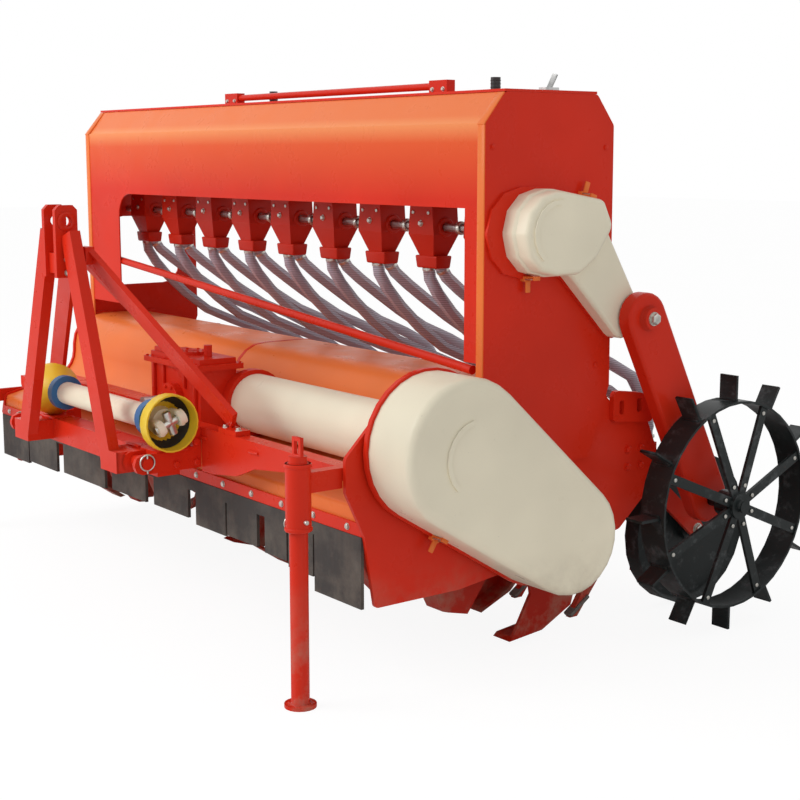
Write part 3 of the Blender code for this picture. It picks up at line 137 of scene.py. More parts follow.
def object_coordinates(tree, scale=(1.0, 1.0, 1.0)):
    coordinates = tree.nodes.new("ShaderNodeTexCoord")
    mapping = tree.nodes.new("ShaderNodeMapping")
    mapping.inputs["Scale"].default_value = scale
    link(tree, coordinates.outputs["Object"], mapping.inputs["Vector"])
    return mapping.outputs["Vector"]


def component(tree, vector, letter):
    split = tree.nodes.new("ShaderNodeSeparateXYZ")
    link(tree, vector, split.inputs["Vector"])
    return split.outputs[letter]


def noise(tree, vector, scale, detail=4.0, roughness=0.55):
    node = tree.nodes.new("ShaderNodeTexNoise")
    node.inputs["Scale"].default_value = scale
    node.inputs["Detail"].default_value = detail
    node.inputs["Roughness"].default_value = roughness
    link(tree, vector, node.inputs["Vector"])
    return node.outputs["Fac"]


def ranged(tree, value, low, high, to_low, to_high):
    node = tree.nodes.new("ShaderNodeMapRange")
    node.inputs["From Min"].default_value = low
    node.inputs["From Max"].default_value = high
    node.inputs["To Min"].default_value = to_low
    node.inputs["To Max"].default_value = to_high
    link(tree, value, node.inputs["Value"])
    return node.outputs["Result"]


def spread(tree, value, to_low=0.0, to_high=1.0):
    """Stretches the middle of a noise, where nearly all of it lies, over a range."""
    return ranged(tree, value, 0.3, 0.7, to_low, to_high)


def blended(tree, factor, first, second):
    """A colour between two; each of them is a socket or a colour."""
    node = tree.nodes.new("ShaderNodeMix")
    node.data_type = "RGBA"
    for socket, value in ((node.inputs[6], first), (node.inputs[7], second)):
        if isinstance(value, tuple):
            socket.default_value = (*value, 1.0)
        else:
            link(tree, value, socket)
    link(tree, factor, node.inputs[0])
    return node.outputs[2]


def product(tree, first, second):
    node = tree.nodes.new("ShaderNodeMath")
    node.operation = "MULTIPLY"
    link(tree, first, node.inputs[0])
    link(tree, second, node.inputs[1])
    return node.outputs["Value"]


def bump(tree, shader, height, strength, distance):
    node = tree.nodes.new("ShaderNodeBump")
    node.inputs["Strength"].default_value = strength
    node.inputs["Distance"].default_value = distance
    link(tree, height, node.inputs["Height"])
    link(tree, node.outputs["Normal"], shader.inputs["Normal"])


def dust_near_ground(tree, vector, reach):
    """How dusty a spot is: most at the ground, none above reach, broken up by noise."""
    low = ranged(tree, component(tree, vector, "Z"), 0.0, reach, 1.0, 0.0)
    patches = ranged(tree, noise(tree, vector, 9.0, 6.0, 0.65), 0.42, 0.7, 0.0, 1.0)
    return product(tree, low, patches)


def shade(colour, factor):
    return tuple(min(1.0, channel * factor) for channel in colour)


# Finishes

def enamel(name, colour, roughness, dust=0.45, fade=()):
    """Sprayed gloss paint with drifting colour, dull specks, soil dust low down, and a front's painted
    highlight.
    """
    material, tree, shader = new_material(name)
    vector = object_coordinates(tree)
    drift = spread(tree, noise(tree, vector, 2.2, 3.0))
    paint = blended(tree, drift, shade(colour, 0.88), shade(colour, 1.07))
    # Painted highlight: near the front, the paint turns lighter and more orange in bands up towards the
    # chamfer
    if fade:
        front = ranged(tree, component(tree, vector, "Y"), *HIGHLIGHT_ENDS, 1.0, 0.0)
        height = component(tree, vector, "Z")
        for low, high, highlight_colour in fade:
            rise = ranged(tree, height, low, high, 0.0, 1.0)
            paint = blended(tree, product(tree, rise, front), paint, highlight_colour)
    specks = ranged(tree, noise(tree, vector, 140.0, 2.0, 0.7), 0.70, 0.78, 0.0, 0.32)
    paint = blended(tree, specks, paint, shade(colour, 0.45))
    dirt = dust_near_ground(tree, vector, dust)
    link(tree, blended(tree, dirt, paint, SOIL_DUST), shader.inputs["Base Color"])
    gloss = spread(tree, noise(tree, vector, 14.0, 5.0), roughness - 0.07, roughness + 0.1)
    link(tree, gloss, shader.inputs["Roughness"])
    shader.inputs["Specular IOR Level"].default_value = 0.14
    shader.inputs["Coat Weight"].default_value = 0.04
    shader.inputs["Coat Roughness"].default_value = 0.15
    bump(tree, shader, noise(tree, vector, 420.0, 2.0), 0.08, 0.0006)
    return material


def rubber(name, colour):
    """Matt rubber sheet with scuffs that run down and pale dust."""
    material, tree, shader = new_material(name)
    vector = object_coordinates(tree)
    streaks = noise(tree, object_coordinates(tree, (60.0, 60.0, 6.0)), 1.0, 5.0, 0.65)
    worn = ranged(tree, streaks, 0.4, 0.72, 0.0, 0.75)
    base = blended(tree, worn, colour, shade(colour, 1.9))
    dirt = dust_near_ground(tree, vector, 0.55)
    link(tree, blended(tree, dirt, base, FLAP_DUST), shader.inputs["Base Color"])
    link(tree, ranged(tree, streaks, 0.2, 0.8, 0.6, 0.95), shader.inputs["Roughness"])
    bump(tree, shader, noise(tree, vector, 300.0, 3.0), 0.15, 0.0008)
    return material


def cast_iron(name, colour):
    """Thin black paint over rolled steel, rubbed grey and a little rusty where it meets soil."""
    material, tree, shader = new_material(name)
    vector = object_coordinates(tree)
    rubbed = ranged(tree, noise(tree, vector, 24.0, 6.0, 0.7), 0.54, 0.74, 0.0, 0.45)
    metal = blended(tree, rubbed, colour, RUBBED_IRON)
    rust = ranged(tree, noise(tree, vector, 55.0, 5.0, 0.7), 0.64, 0.76, 0.0, 0.35)
    link(tree, blended(tree, rust, metal, RUST), shader.inputs["Base Color"])
    shader.inputs["Metallic"].default_value = 0.1
    shader.inputs["Specular IOR Level"].default_value = 0.3
    link(tree, ranged(tree, rubbed, 0.0, 1.0, 0.42, 0.62), shader.inputs["Roughness"])
    bump(tree, shader, noise(tree, vector, 180.0, 5.0, 0.7), 0.25, 0.001)
    return material


def plastic(name, colour, roughness):
    """Moulded plastic with faint flow marks and handling marks."""
    material, tree, shader = new_material(name)
    vector = object_coordinates(tree)
    flow = spread(tree, noise(tree, vector, 8.0, 4.0))
    link(tree, blended(tree, flow, shade(colour, 0.9), shade(colour, 1.06)), shader.inputs["Base Color"])
    marks = spread(tree, noise(tree, vector, 60.0, 4.0), roughness - 0.06, roughness + 0.12)
    link(tree, marks, shader.inputs["Roughness"])
    bump(tree, shader, noise(tree, vector, 500.0, 2.0), 0.1, 0.0004)
    return material


def turned_steel(name, colour):
    """Bright machined steel with fine tool marks round the machine's cross axis."""
    material, tree, shader = new_material(name)
    vector = object_coordinates(tree)
    marks = noise(tree, object_coordinates(tree, (900.0, 60.0, 60.0)), 1.0, 3.0)
    metal = blended(tree, spread(tree, marks), shade(colour, 0.75), shade(colour, 1.1))
    link(tree, metal, shader.inputs["Base Color"])
    shader.inputs["Metallic"].default_value = 0.9
    link(tree, spread(tree, noise(tree, vector, 40.0, 4.0), 0.24, 0.42), shader.inputs["Roughness"])
    bump(tree, shader, marks, 0.08, 0.0003)
    return material


def ribbed_hose(name, colour):
    """Clear ribbed seed hose: grey walls crossed by darker ribs."""
    material, tree, shader = new_material(name)
    coordinates = tree.nodes.new("ShaderNodeTexCoord")
    ribs = tree.nodes.new("ShaderNodeTexWave")
    ribs.bands_direction = "Z"
    ribs.inputs["Scale"].default_value = 62.0
    ribs.inputs["Distortion"].default_value = 0.2
    link(tree, coordinates.outputs["Object"], ribs.inputs["Vector"])
    wall = blended(tree, ribs.outputs["Fac"], shade(colour, 0.66), shade(colour, 1.3))
    link(tree, wall, shader.inputs["Base Color"])
    shader.inputs["Roughness"].default_value = 0.3
    bump(tree, shader, ribs.outputs["Fac"], 0.25, 0.001)
    return material


# The paint operator fills this: finish name, material
FINISHES = {}
# Red nodes with painted light in their red: a painted highlight on the front, painted shade on the cups,
# and painted shade on the rotor, which also takes soil dust low down
SPECIAL = {
    "hopper_front": "front_highlight",
    "hopper_tank": "front_highlight",
    "feed_cups": "shaded_red",
    "rotor": "shaded_dusty_red",
}
# CAD nodes with rolled or turned walls, which a smooth copy shows without their facets
ROUNDED = (
    "hood", "gear_cover", "feed_drive_cover", "drive_tube", "cardan_tube", "guard_left", "guard_right",
    "collar_left", "collar_right", "stand_left", "stand_right", "stand_sleeve_left", "stand_sleeve_right",
    "wheel_arm", "ground_wheel", "depth_wheel_left", "depth_wheel_right", "lid_rail", "window_bar",
    "lid_lever", "lid_knob_left", "lid_knob_right", "input_shaft", "gear_case", "feed_drive_pan",
    "headstock",
) + tuple(f"seed_hose_{i}" for i in range(1, ROW_COUNT + 1))


class SeedDrillPaints(bpy.types.PropertyGroup):
    red: bpy.props.FloatVectorProperty(
        name="Frame red", description="Paint of the hopper, frame and hitch", subtype="COLOR",
        default=(0.715, 0.028, 0.009), min=0.0, max=1.0)
    orange: bpy.props.FloatVectorProperty(
        name="Hood orange", description="Paint of the hood over the rotor", subtype="COLOR",
        default=(0.86, 0.20, 0.045), min=0.0, max=1.0)
    cream: bpy.props.FloatVectorProperty(
        name="Cover cream", description="Paint of the drive covers and the drive tube", subtype="COLOR",
        default=(0.90, 0.825, 0.64), min=0.0, max=1.0)
    rubber: bpy.props.FloatVectorProperty(
        name="Flap rubber", description="Colour of the rubber flaps", subtype="COLOR",
        default=(0.036, 0.030, 0.027), min=0.0, max=1.0)
    iron: bpy.props.FloatVectorProperty(
        name="Wheel iron", description="Paint of the lugged ground wheel", subtype="COLOR",
        default=(0.012, 0.016, 0.016), min=0.0, max=1.0)
    hose: bpy.props.FloatVectorProperty(
        name="Hose", description="Tint of the ribbed seed hoses", subtype="COLOR",
        default=(0.43, 0.41, 0.48), min=0.0, max=1.0)
    yellow: bpy.props.FloatVectorProperty(
        name="Guard yellow", description="Plastic of the shaft guards", subtype="COLOR",
        default=(0.90, 0.62, 0.03), min=0.0, max=1.0)
    blue: bpy.props.FloatVectorProperty(
        name="Collar blue", description="Plastic of the guard's collar", subtype="COLOR",
        default=(0.03, 0.15, 0.36), min=0.0, max=1.0)


class SeedDrillSizes(bpy.types.PropertyGroup):
    bolt: bpy.props.FloatProperty(
        name="Frame bolt", description="Washer radius of the frame's bolts", default=0.011,
        min=0.004, max=0.02, unit="LENGTH", subtype="DISTANCE")
    screw: bpy.props.FloatProperty(
        name="Sheet screw", description="Washer radius of the screws in sheet metal", default=0.007,
        min=0.003, max=0.012, unit="LENGTH", subtype="DISTANCE")
    latch: bpy.props.FloatProperty(
        name="Latch width", description="Width of the strap of a cover latch", default=0.022,
        min=0.01, max=0.04, unit="LENGTH", subtype="DISTANCE")
    clamp: bpy.props.FloatProperty(
        name="Hose clamp", description="Width of the band round a seed hose", default=0.009,
        min=0.004, max=0.02, unit="LENGTH", subtype="DISTANCE")
    wire: bpy.props.FloatProperty(
        name="Pin wire", description="Radius of the wire of the linch pins' rings", default=0.0022,
        min=0.001, max=0.005, unit="LENGTH", subtype="DISTANCE")
    weld: bpy.props.FloatProperty(
        name="Weld bead", description="Radius of a weld bead", default=0.0045,
        min=0.002, max=0.01, unit="LENGTH", subtype="DISTANCE")


class StageSettings(bpy.types.PropertyGroup):
    floor: bpy.props.FloatVectorProperty(
        name="Floor", description="Colour of the floor", subtype="COLOR",
        default=(0.9, 0.9, 0.9), min=0.0, max=1.0)
    key: bpy.props.FloatProperty(
        name="Key light", description="Power of the large lamp in front", default=150.0, min=0.0,
        subtype="POWER")
    fill: bpy.props.FloatProperty(
        name="Fill light", description="Strength of the light from all round", default=0.55, min=0.0)
    focal: bpy.props.FloatProperty(
        name="Focal length", description="Length of the camera's lens in millimetres", default=67.05,
        min=10.0)


class SEEDDRILL_OT_paint(bpy.types.Operator):
    """Give every CAD piece its finish"""
    bl_idname = "seed_drill.paint"
    bl_label = "Paint the machine"

    def execute(self, context):
        paints = context.scene.seed_drill_paints
        red = tuple(paints.red)
        orange = tuple(paints.orange)
        FINISHES.update({
            "red_paint": enamel("red_enamel", red, 0.3, 0.28),
            "orange_paint": enamel("orange_enamel", orange, 0.32, 0.2),
            "cream_paint": enamel("cream_enamel", tuple(paints.cream), 0.33, 0.3),
            "black_rubber": rubber("flap_rubber", tuple(paints.rubber)),
            "wheel_iron": cast_iron("wheel_iron", tuple(paints.iron)),
            "hose": ribbed_hose("ribbed_hose", tuple(paints.hose)),
            "guard_yellow": plastic("yellow_guard", tuple(paints.yellow), 0.4),
            "guard_blue": plastic("blue_collar", tuple(paints.blue), 0.4),
            "steel": turned_steel("turned_steel", (0.55, 0.55, 0.54)),
            "knob_black": plastic("black_knob", (0.02, 0.02, 0.02), 0.35),
            "zinc": turned_steel("zinc_plate", (0.62, 0.60, 0.55)),
            "worn_steel": cast_iron("worn_steel", (0.22, 0.20, 0.18)),
            "bright_orange": enamel("corner_orange", orange, 0.3, 0.2),
            # Painted shade: the cups' red is darkened for the hopper's shadow over them
            "shaded_red": enamel("cup_enamel", shade(red, 0.74), 0.34, 0.28),
            # Painted shade: the blades' red is darkened for the shade under the machine; the dust low down
            # is soil
            "shaded_dusty_red": enamel("blade_shaded_enamel", shade(red, 0.6), 0.42, 0.42),
            # The front's red carries a painted highlight towards its top
            "front_highlight": enamel("front_highlight_enamel", red, 0.3, fade=FRONT_HIGHLIGHT),
        })
        slots = {row["node"]: row["material_slot"] for row in frame["record"]["subparts"]}
        for node, obj in frame["nodes"].items():
            obj.data.materials.clear()
            obj.data.materials.append(FINISHES[SPECIAL.get(node, slots[node])])
        return {"FINISHED"}


# Modelling helpers. Pieces are built on the machine's own axes and moved by SHIFT when they are finished.

def moved(x, y, z):
    return Matrix.Translation((x, y, z))


def turned(angle, axis):
    return Matrix.Rotation(angle, 4, axis)


def aimed(spot, facing):
    """A place whose Z looks along facing."""
    return Matrix.Translation(spot) @ Vector(facing).to_track_quat("Z", "Y").to_matrix().to_4x4()


def round_bar(part, foot, top, tall, segments, place):
    """A closed bar or taper; its axis is the place's Z, and its middle the place's origin."""
    bmesh.ops.create_cone(part, cap_ends=True, segments=segments, radius1=foot, radius2=top, depth=tall,
                          matrix=place)


def rim(part, height):
    """The edges of a fresh shape that lie at one local height."""
    return [edge for edge in part.edges if all(abs(vert.co.z - height) < 1e-6 for vert in edge.verts)]


def rounded(part, edges, offset, steps):
    bmesh.ops.bevel(part, geom=edges, offset=offset, offset_type="OFFSET", segments=steps, profile=0.5,
                    affect="EDGES", material=-1, clamp_overlap=True)


def settle(bm, part, place):
    """Copies a small shape into a larger one at its place, which may be a mirrored one."""
    bmesh.ops.transform(part, matrix=place, verts=part.verts)
    bmesh.ops.recalc_face_normals(part, faces=part.faces)
    mesh = bpy.data.meshes.new("part")
    part.to_mesh(mesh)
    part.free()
    bm.from_mesh(mesh)
    bpy.data.meshes.remove(mesh)


def bolt(bm, spot, facing, radius, sides=6, washer=True):
    """A washer of this radius under a hexagon or round head with a chamfered top."""
    part = bmesh.new()
    hexagon = sides == 6
    thick = radius * 0.14 if washer else 0.0
    tall = radius * (0.62 if hexagon else 0.38)
    head = radius * (0.8 if hexagon else 0.78)
    if washer:
        round_bar(part, radius, radius * 0.96, thick, 18, moved(0, 0, thick / 2))
    round_bar(part, head, head, tall, sides, moved(0, 0, thick + tall / 2))
    rounded(part, rim(part, thick + tall), radius * 0.14, 1 if hexagon else 3)
    settle(bm, part, aimed(spot, facing))


def bead(bm, start, end, radius, sides=10):
    """A round bar with softened ends."""
    start = Vector(start)
    reach = Vector(end) - start
    length = reach.length
    part = bmesh.new()
    round_bar(part, radius, radius, length, sides, moved(0, 0, length / 2))
    rounded(part, rim(part, 0.0) + rim(part, length), radius * 0.3, 2)
    settle(bm, part, aimed(start, reach))


def spun(bm, part, spot, facing, turns):
    """Spins the closed section in part round Z into a ring, and settles it."""
    bmesh.ops.spin(part, geom=list(part.verts) + list(part.edges), cent=(0, 0, 0), axis=UP, angle=math.tau,
                   steps=turns, use_merge=True)
    settle(bm, part, aimed(spot, facing))


def ring(bm, spot, facing, radius, wire, turns=28, sides=8):
    """A ring of round wire."""
    part = bmesh.new()
    upright = moved(radius, 0, 0) @ turned(math.pi / 2, "X")
    bmesh.ops.create_circle(part, segments=sides, radius=wire, matrix=upright)
    spun(bm, part, spot, facing, turns)


def band(bm, spot, facing, inner, outer, width, turns=28):
    """A flat collar with broken edges: an octagon pressed to the collar's section and spun round."""
    part = bmesh.new()
    middle = (inner + outer) / 2
    half = (outer - inner) / 2
    upright = moved(middle, 0, 0) @ turned(math.pi / 2, "X") @ turned(math.pi / 8, "Z")
    bmesh.ops.create_circle(part, segments=8, radius=1.0, matrix=upright)
    for vert in part.verts:
        corner = Vector((vert.co.x - middle, vert.co.z)) / math.cos(math.pi / 8)
        across = max(-half, min(half, corner.x * half * 1.3))
        along = max(-width / 2, min(width / 2, corner.y * width * 0.6))
        vert.co = (middle + across, 0, along)
    spun(bm, part, spot, facing, turns)


def slab(bm, low, high, edge, place=None, steps=2):
    """A plate with rounded edges between two corners."""
    low = Vector(low)
    high = Vector(high)
    part = bmesh.new()
    bmesh.ops.create_cube(part, size=1.0)
    size = Matrix.Diagonal((*(high - low), 1.0))
    bmesh.ops.transform(part, matrix=Matrix.Translation((low + high) / 2) @ size, verts=part.verts)
    rounded(part, list(part.edges), edge, steps)
    settle(bm, part, place or Matrix.Identity(4))


def finished(bm, name, finish, body, smooth=35.0):
    """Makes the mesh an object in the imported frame, gives it its finish and joins it to a body."""
    bmesh.ops.translate(bm, vec=SHIFT, verts=bm.verts)
    mesh = bpy.data.meshes.new(name)
    bm.to_mesh(mesh)
    bm.free()
    mesh.shade_smooth()
    mesh.set_sharp_from_angle(angle=math.radians(smooth))
    mesh.materials.append(FINISHES[finish])
    piece = bpy.data.objects.new(name, mesh)
    bpy.context.scene.collection.objects.link(piece)
    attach(piece, body)
    return piece


def cad_copy(node):
    """A clean copy of a CAD node's mesh on the machine's own axes."""
    bm = bmesh.new()
    bm.from_mesh(frame["nodes"][node].data)
    bmesh.ops.remove_doubles(bm, verts=bm.verts, dist=1e-5)
    bmesh.ops.translate(bm, vec=-SHIFT, verts=bm.verts)
    return bm


def sliced(bm, low, high):
    """Keeps what lies between two cuts across the machine, and closes them."""
    for at, way in ((low, -1), (high, 1)):
        geom = list(bm.verts) + list(bm.edges) + list(bm.faces)
        cut = bmesh.ops.bisect_plane(bm, geom=geom, dist=1e-7, plane_co=(at, 0, 0), plane_no=(way, 0, 0),
                                     clear_outer=True)
        edges = [item for item in cut["geom_cut"] if isinstance(item, bmesh.types.BMEdge)]
        bmesh.ops.holes_fill(bm, edges=edges, sides=0)
    bmesh.ops.recalc_face_normals(bm, faces=bm.faces)
    return bm


class SEEDDRILL_OT_round_off(bpy.types.Operator):
    """Round off the turned, rolled and moulded pieces"""
    bl_idname = "seed_drill.round_off"
    bl_label = "Round off the curved pieces"

    def execute(self, context):
        slots = {row["node"]: row["material_slot"] for row in frame["record"]["subparts"]}
        bodies = {
            node: body for body, nodes in frame["record"]["behaviour"]["bodies"].items() for node in nodes
        }
        same_plane = math.radians(0.3)
        for node in ROUNDED:
            bm = cad_copy(node)
            bmesh.ops.dissolve_limit(bm, angle_limit=same_plane, verts=bm.verts, edges=bm.edges)
            bmesh.ops.recalc_face_normals(bm, faces=bm.faces)
            piece = finished(bm, node + "_rounded", slots[node], bodies[node], smooth=42.0)
            even = piece.modifiers.new("even_shading", "WEIGHTED_NORMAL")
            even.mode = "FACE_AREA_WITH_ANGLE"
            even.weight = 80
            even.keep_sharp = True
            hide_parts(node)
        return {"FINISHED"}


# Bolts

def plate_bolts(painted, sizes):
    """Toolbar and bearing bolts on both side plates, smaller on the left to stay in the CAD's box."""
    left_bolt = 0.0078
    places = (
        # y, z, share of the bolt's size
        (0.468, 0.452, 1.0), (0.468, 0.408, 1.0), (0.512, 0.452, 1.0), (0.512, 0.408, 1.0),
        (0.560, 0.400, 0.85), (0.330, 0.565, 0.85),
    )
    for side, size in ((-1, left_bolt), (1, sizes.bolt)):
        for y, z, share in places:
            bolt(painted, (side * ROTOR_SIDE, y, z), (side, 0, 0), size * share)


def hopper_screws(painted, sizes):
    for y, z in ((0.345, 0.672), (0.365, 0.86), (0.365, 1.02), (0.365, 1.18), (0.02, 1.18)):
        bolt(painted, (HOPPER_SIDE, y, z), RIGHT, sizes.screw, 14)


def hitch_bolts(zinc, painted, sizes):
    """Bolts of the lower ears, the mast and the stays' feet, and bushes in the mast's top hole."""
    ear_face = 0.375
    mast_face, mast_y, top_hole = 0.040, -0.55, 1.0
    foot_y, foot_top = -0.356, 0.5213
    for side in (-1, 1):
        out = (side, 0, 0)
        for y, z in ((-0.385, 0.475), (-0.385, 0.425), (-0.440, 0.425)):
            bolt(painted, (side * ear_face, y, z), out, sizes.bolt)
        for z in (0.905, 0.872):
            bolt(zinc, (side * mast_face, mast_y, z), out, sizes.bolt * 0.9)
        for x in (0.470, 0.530):
            bolt(zinc, (side * x, foot_y, foot_top), UP, sizes.bolt * 0.75)
        band(painted, (side * (mast_face + 0.002), mast_y, top_hole), out, 0.013, 0.024, 0.005)


def gearbox_bolts(painted, sizes):
    """Screws of the gearbox's lid, ribs on its front, and the bolts of its input flange and top cap."""
    lid_top = 0.641
    for x in (-0.007, 0.085, 0.175, 0.267):
        for y in (-0.3125, -0.1925):
            bolt(painted, (x, y, lid_top), UP, sizes.screw * 0.8, washer=False)
    front_y, rib_top = -0.3035, 0.6275
    ribs = (
        # x, half width, outer y, foot z
        (0.022, 0.006, -0.3135, 0.485), (0.238, 0.006, -0.3135, 0.485),
        (0.075, 0.005, -0.3125, 0.575), (0.185, 0.005, -0.3125, 0.575),
    )
    for x, half, outer_y, foot in ribs:
        slab(painted, (x - half, outer_y, foot), (x + half, front_y, rib_top), 0.003)
    flange_y, flange_circle = -0.3245, 0.039
    for i in range(8):
        turn = math.tau * (i + 0.5) / 8
        away = Vector((math.cos(turn), 0, math.sin(turn))) * flange_circle
        bolt(painted, Vector((INPUT_AXIS.x, flange_y, INPUT_AXIS.z)) + away, FORWARD, 0.006)
    cap_y, cap_top, cap_circle = -0.2525, 0.663, 0.028
    for i in range(6):
        turn = math.tau * i / 6
        away = Vector((math.cos(turn), math.sin(turn), 0)) * cap_circle
        bolt(painted, Vector((INPUT_AXIS.x, cap_y, cap_top)) + away, UP, sizes.screw * 0.7, washer=False)


class SEEDDRILL_OT_bolts(bpy.types.Operator):
    """Bolt the frame, the hopper, the gearbox and the flap strip together"""
    bl_idname = "seed_drill.bolts"
    bl_label = "Frame bolts"

    def execute(self, context):
        sizes = context.scene.seed_drill_sizes
        zinc = bmesh.new()
        painted = bmesh.new()
        strip_bolts, strip_end, strip_z = 15, 0.93, 0.3655
        strip_face = corners("flap_strip")[0].y
        for i in range(strip_bolts):
            x = strip_end * (2 * i / (strip_bolts - 1) - 1)
            bolt(zinc, (x, strip_face, strip_z), FORWARD, sizes.screw * 1.15, 14)
        axle_end = 0.963
        for side in (-1, 1):
            bolt(zinc, (side * axle_end, DEPTH_AXIS.y, DEPTH_AXIS.z), (side, 0, 0), 0.017)
        plate_bolts(painted, sizes)
        hopper_screws(painted, sizes)
        hitch_bolts(zinc, painted, sizes)
        gearbox_bolts(painted, sizes)
        finished(zinc, "zinc_bolts", "zinc", "frame")
        finished(painted, "painted_bolts", "red_paint", "frame")
        return {"FINISHED"}


class SEEDDRILL_OT_latches(bpy.types.Operator):
    """Fit the spring latches that hold the two drive covers"""
    bl_idname = "seed_drill.latches"
    bl_label = "Cover latches"

    def execute(self, context):
        width = context.scene.seed_drill_sizes.latch
        straps = bmesh.new()
        wires = bmesh.new()
        places = (
            # spot on the backing plate's rim (y, z), outward direction in degrees, x of the plate's face
            (-0.1465, 0.3270, 238.5, 1.0125),
            (0.1213, 0.5144, 47.9, 1.0125),
            (0.2882, 1.0713, 71.4, 1.0085),
            (0.1170, 0.8880, -90.0, 1.0085),
        )
        blocks = (
            # x from the face and y from the rim of each end, half width as a share of the latch, rounding
            (-0.010, -0.0055, 0.005, 0.0065, 0.50, 0.0012),
            (0.002, -0.0055, 0.034, -0.0018, 0.36, 0.0012),
            (0.030, -0.0065, 0.036, 0.0030, 0.42, 0.0012),
            (0.002, 0.0040, 0.006, 0.0320, 0.32, 0.0016),
        )
        for y, z, heading, face in places:
            place = moved(face, y, z) @ turned(math.radians(heading), "X")
            for low_x, low_y, high_x, high_y, share, edge in blocks:
                half = width * share
                slab(straps, (low_x, low_y, -half), (high_x, high_y, half), edge, place)
            for side in (-1, 1):
                start = place @ Vector((0.003, 0.0020, side * width * 0.4))
                end = place @ Vector((0.033, 0.0005, side * width * 0.32))
                bead(wires, start, end, 0.0016, 8)
        finished(straps, "latch_straps", "bright_orange", "frame")
        finished(wires, "latch_wires", "zinc", "frame")
        return {"FINISHED"}


class SEEDDRILL_OT_seams(bpy.types.Operator):
    """Lay the hood's joint band, the hopper's corner strips and the weld beads"""
    bl_idname = "seed_drill.seams"
    bl_label = "Seams and welds"

    def execute(self, context):
        band_low, band_high, band_lift = 0.014, 0.026, 0.0012
        bm = sliced(cad_copy("hood"), band_low, band_high)
        for vert in bm.verts:
            vert.co += Vector((0, vert.normal.y, vert.normal.z)) * band_lift
        finished(bm, "hood_joint", "red_paint", "frame", smooth=25.0)

        strips = bmesh.new()
        foot, bend, chamfer_run, chamfer_rise = 0.47, 1.232, 0.057, 0.069
        lean = moved(0, -0.0005, bend - 0.001) @ turned(-math.atan2(chamfer_run, chamfer_rise), "X")
        for side in (-1, 1):
            low, high = sorted((side * 0.974, side * 0.9985))
            slab(strips, (low, -0.0025, foot), (high, 0.0035, bend), 0.0024)
            slab(strips, (low, -0.002, -0.004), (high, 0.0035, 0.088), 0.0016, lean)
        finished(strips, "corner_strips", "bright_orange", "frame")

        weld = context.scene.seed_drill_sizes.weld
        beads = bmesh.new()
        crossbar_top, crossbar_front = 0.4605, -0.491
        ear_middle, ear_front, ear_back = 0.339, -0.430, -0.394
        for side in (-1, 1):
            for edge in (-0.036, -0.024, 0.024, 0.036):
                x = side * ear_middle + edge
                bead(beads, (x, ear_front, crossbar_top), (x, ear_back, crossbar_top), weld, 8)
            start, end = (Vector((side * x, crossbar_front, crossbar_top)) for x in (0.215, 0.285))
            bead(beads, start, end, weld, 8)
        sleeve_beads = (
            # x, y, foot z, top z, share of the bead's size
            (0.9515, -0.3705, 0.4655, 0.5085, 0.8),
            (0.951, -0.4535, 0.470, 0.500, 0.6),
            (0.979, -0.4535, 0.470, 0.500, 0.6),
        )
        for x, y, foot, top, share in sleeve_beads:
            bead(beads, (x, y, foot), (x, y, top), weld * share, 8)
        rail_y, rail_z = -0.3712, 0.4845
        for x in (0.385, 0.62, 0.88, -0.385, -0.62):
            bead(beads, (x - 0.02, rail_y, rail_z), (x + 0.02, rail_y, rail_z), weld * 0.8, 8)
        finished(beads, "weld_beads", "red_paint", "frame")
        return {"FINISHED"}


class SEEDDRILL_OT_yokes(bpy.types.Operator):
    """Put the joint yokes and crosses inside the shaft's guard bells"""
    bl_idname = "seed_drill.yokes"
    bl_label = "Shaft yokes"

    def execute(self, context):
        forks = bmesh.new()
        crosses = bmesh.new()
        linings = bmesh.new()
        # X runs out of a bell from its mouth, so that all of its yoke lies at negative X
        cross_x = -0.014
        crosswise = turned(math.pi / 2, "Y")
        # guard whose bell the yoke sits in, the corner at its mouth, the way it opens, turn in degrees
        for node, mouth, way, twist in (("guard_right", 1, 1, 22.0), ("guard_left", 0, -1, -15.0)):
            mouth_x = corners(node)[mouth].x
            place = moved(mouth_x, CARDAN_AXIS.y, CARDAN_AXIS.z) @ turned(math.radians(twist), "X")
            place = place @ Matrix.Diagonal((way, 1, 1, 1))
            hub = bmesh.new()
            round_bar(hub, 0.036, 0.030, 0.022, 24, moved(-0.054, 0, 0) @ crosswise)
            settle(forks, hub, place)
            for side in (-1, 1):
                low, high = sorted((side * 0.022, side * 0.036))
                slab(forks, (-0.052, low, -0.021), (-0.004, high, 0.021), 0.006, place, 3)
                eye = bmesh.new()
                eye_place = moved(cross_x, side * 0.030, 0) @ turned(math.pi / 2, "X")
                round_bar(eye, 0.019, 0.019, 0.018, 20, eye_place)
                settle(forks, eye, place)
            for arm in (Vector((0, 0.044, 0)), Vector((0, 0, 0.030))):
                middle = Vector((cross_x, 0, 0))
                bead(crosses, place @ (middle - arm), place @ (middle + arm), 0.0105, 16)
            lining = bmesh.new()
            round_bar(lining, 0.0405, 0.064, 0.030, 28, moved(-0.0475, 0, 0) @ crosswise)
            ends = [face for face in lining.faces if len(face.verts) > 4]
            bmesh.ops.delete(lining, geom=ends, context="FACES_ONLY")
            bmesh.ops.solidify(lining, geom=list(lining.faces), thickness=0.0015)
            settle(linings, lining, place)
        finished(forks, "shaft_yokes", "cream_paint", "frame")
        finished(crosses, "yoke_crosses", "zinc", "frame")
        finished(linings, "bell_linings", "knob_black", "frame")
        return {"FINISHED"}


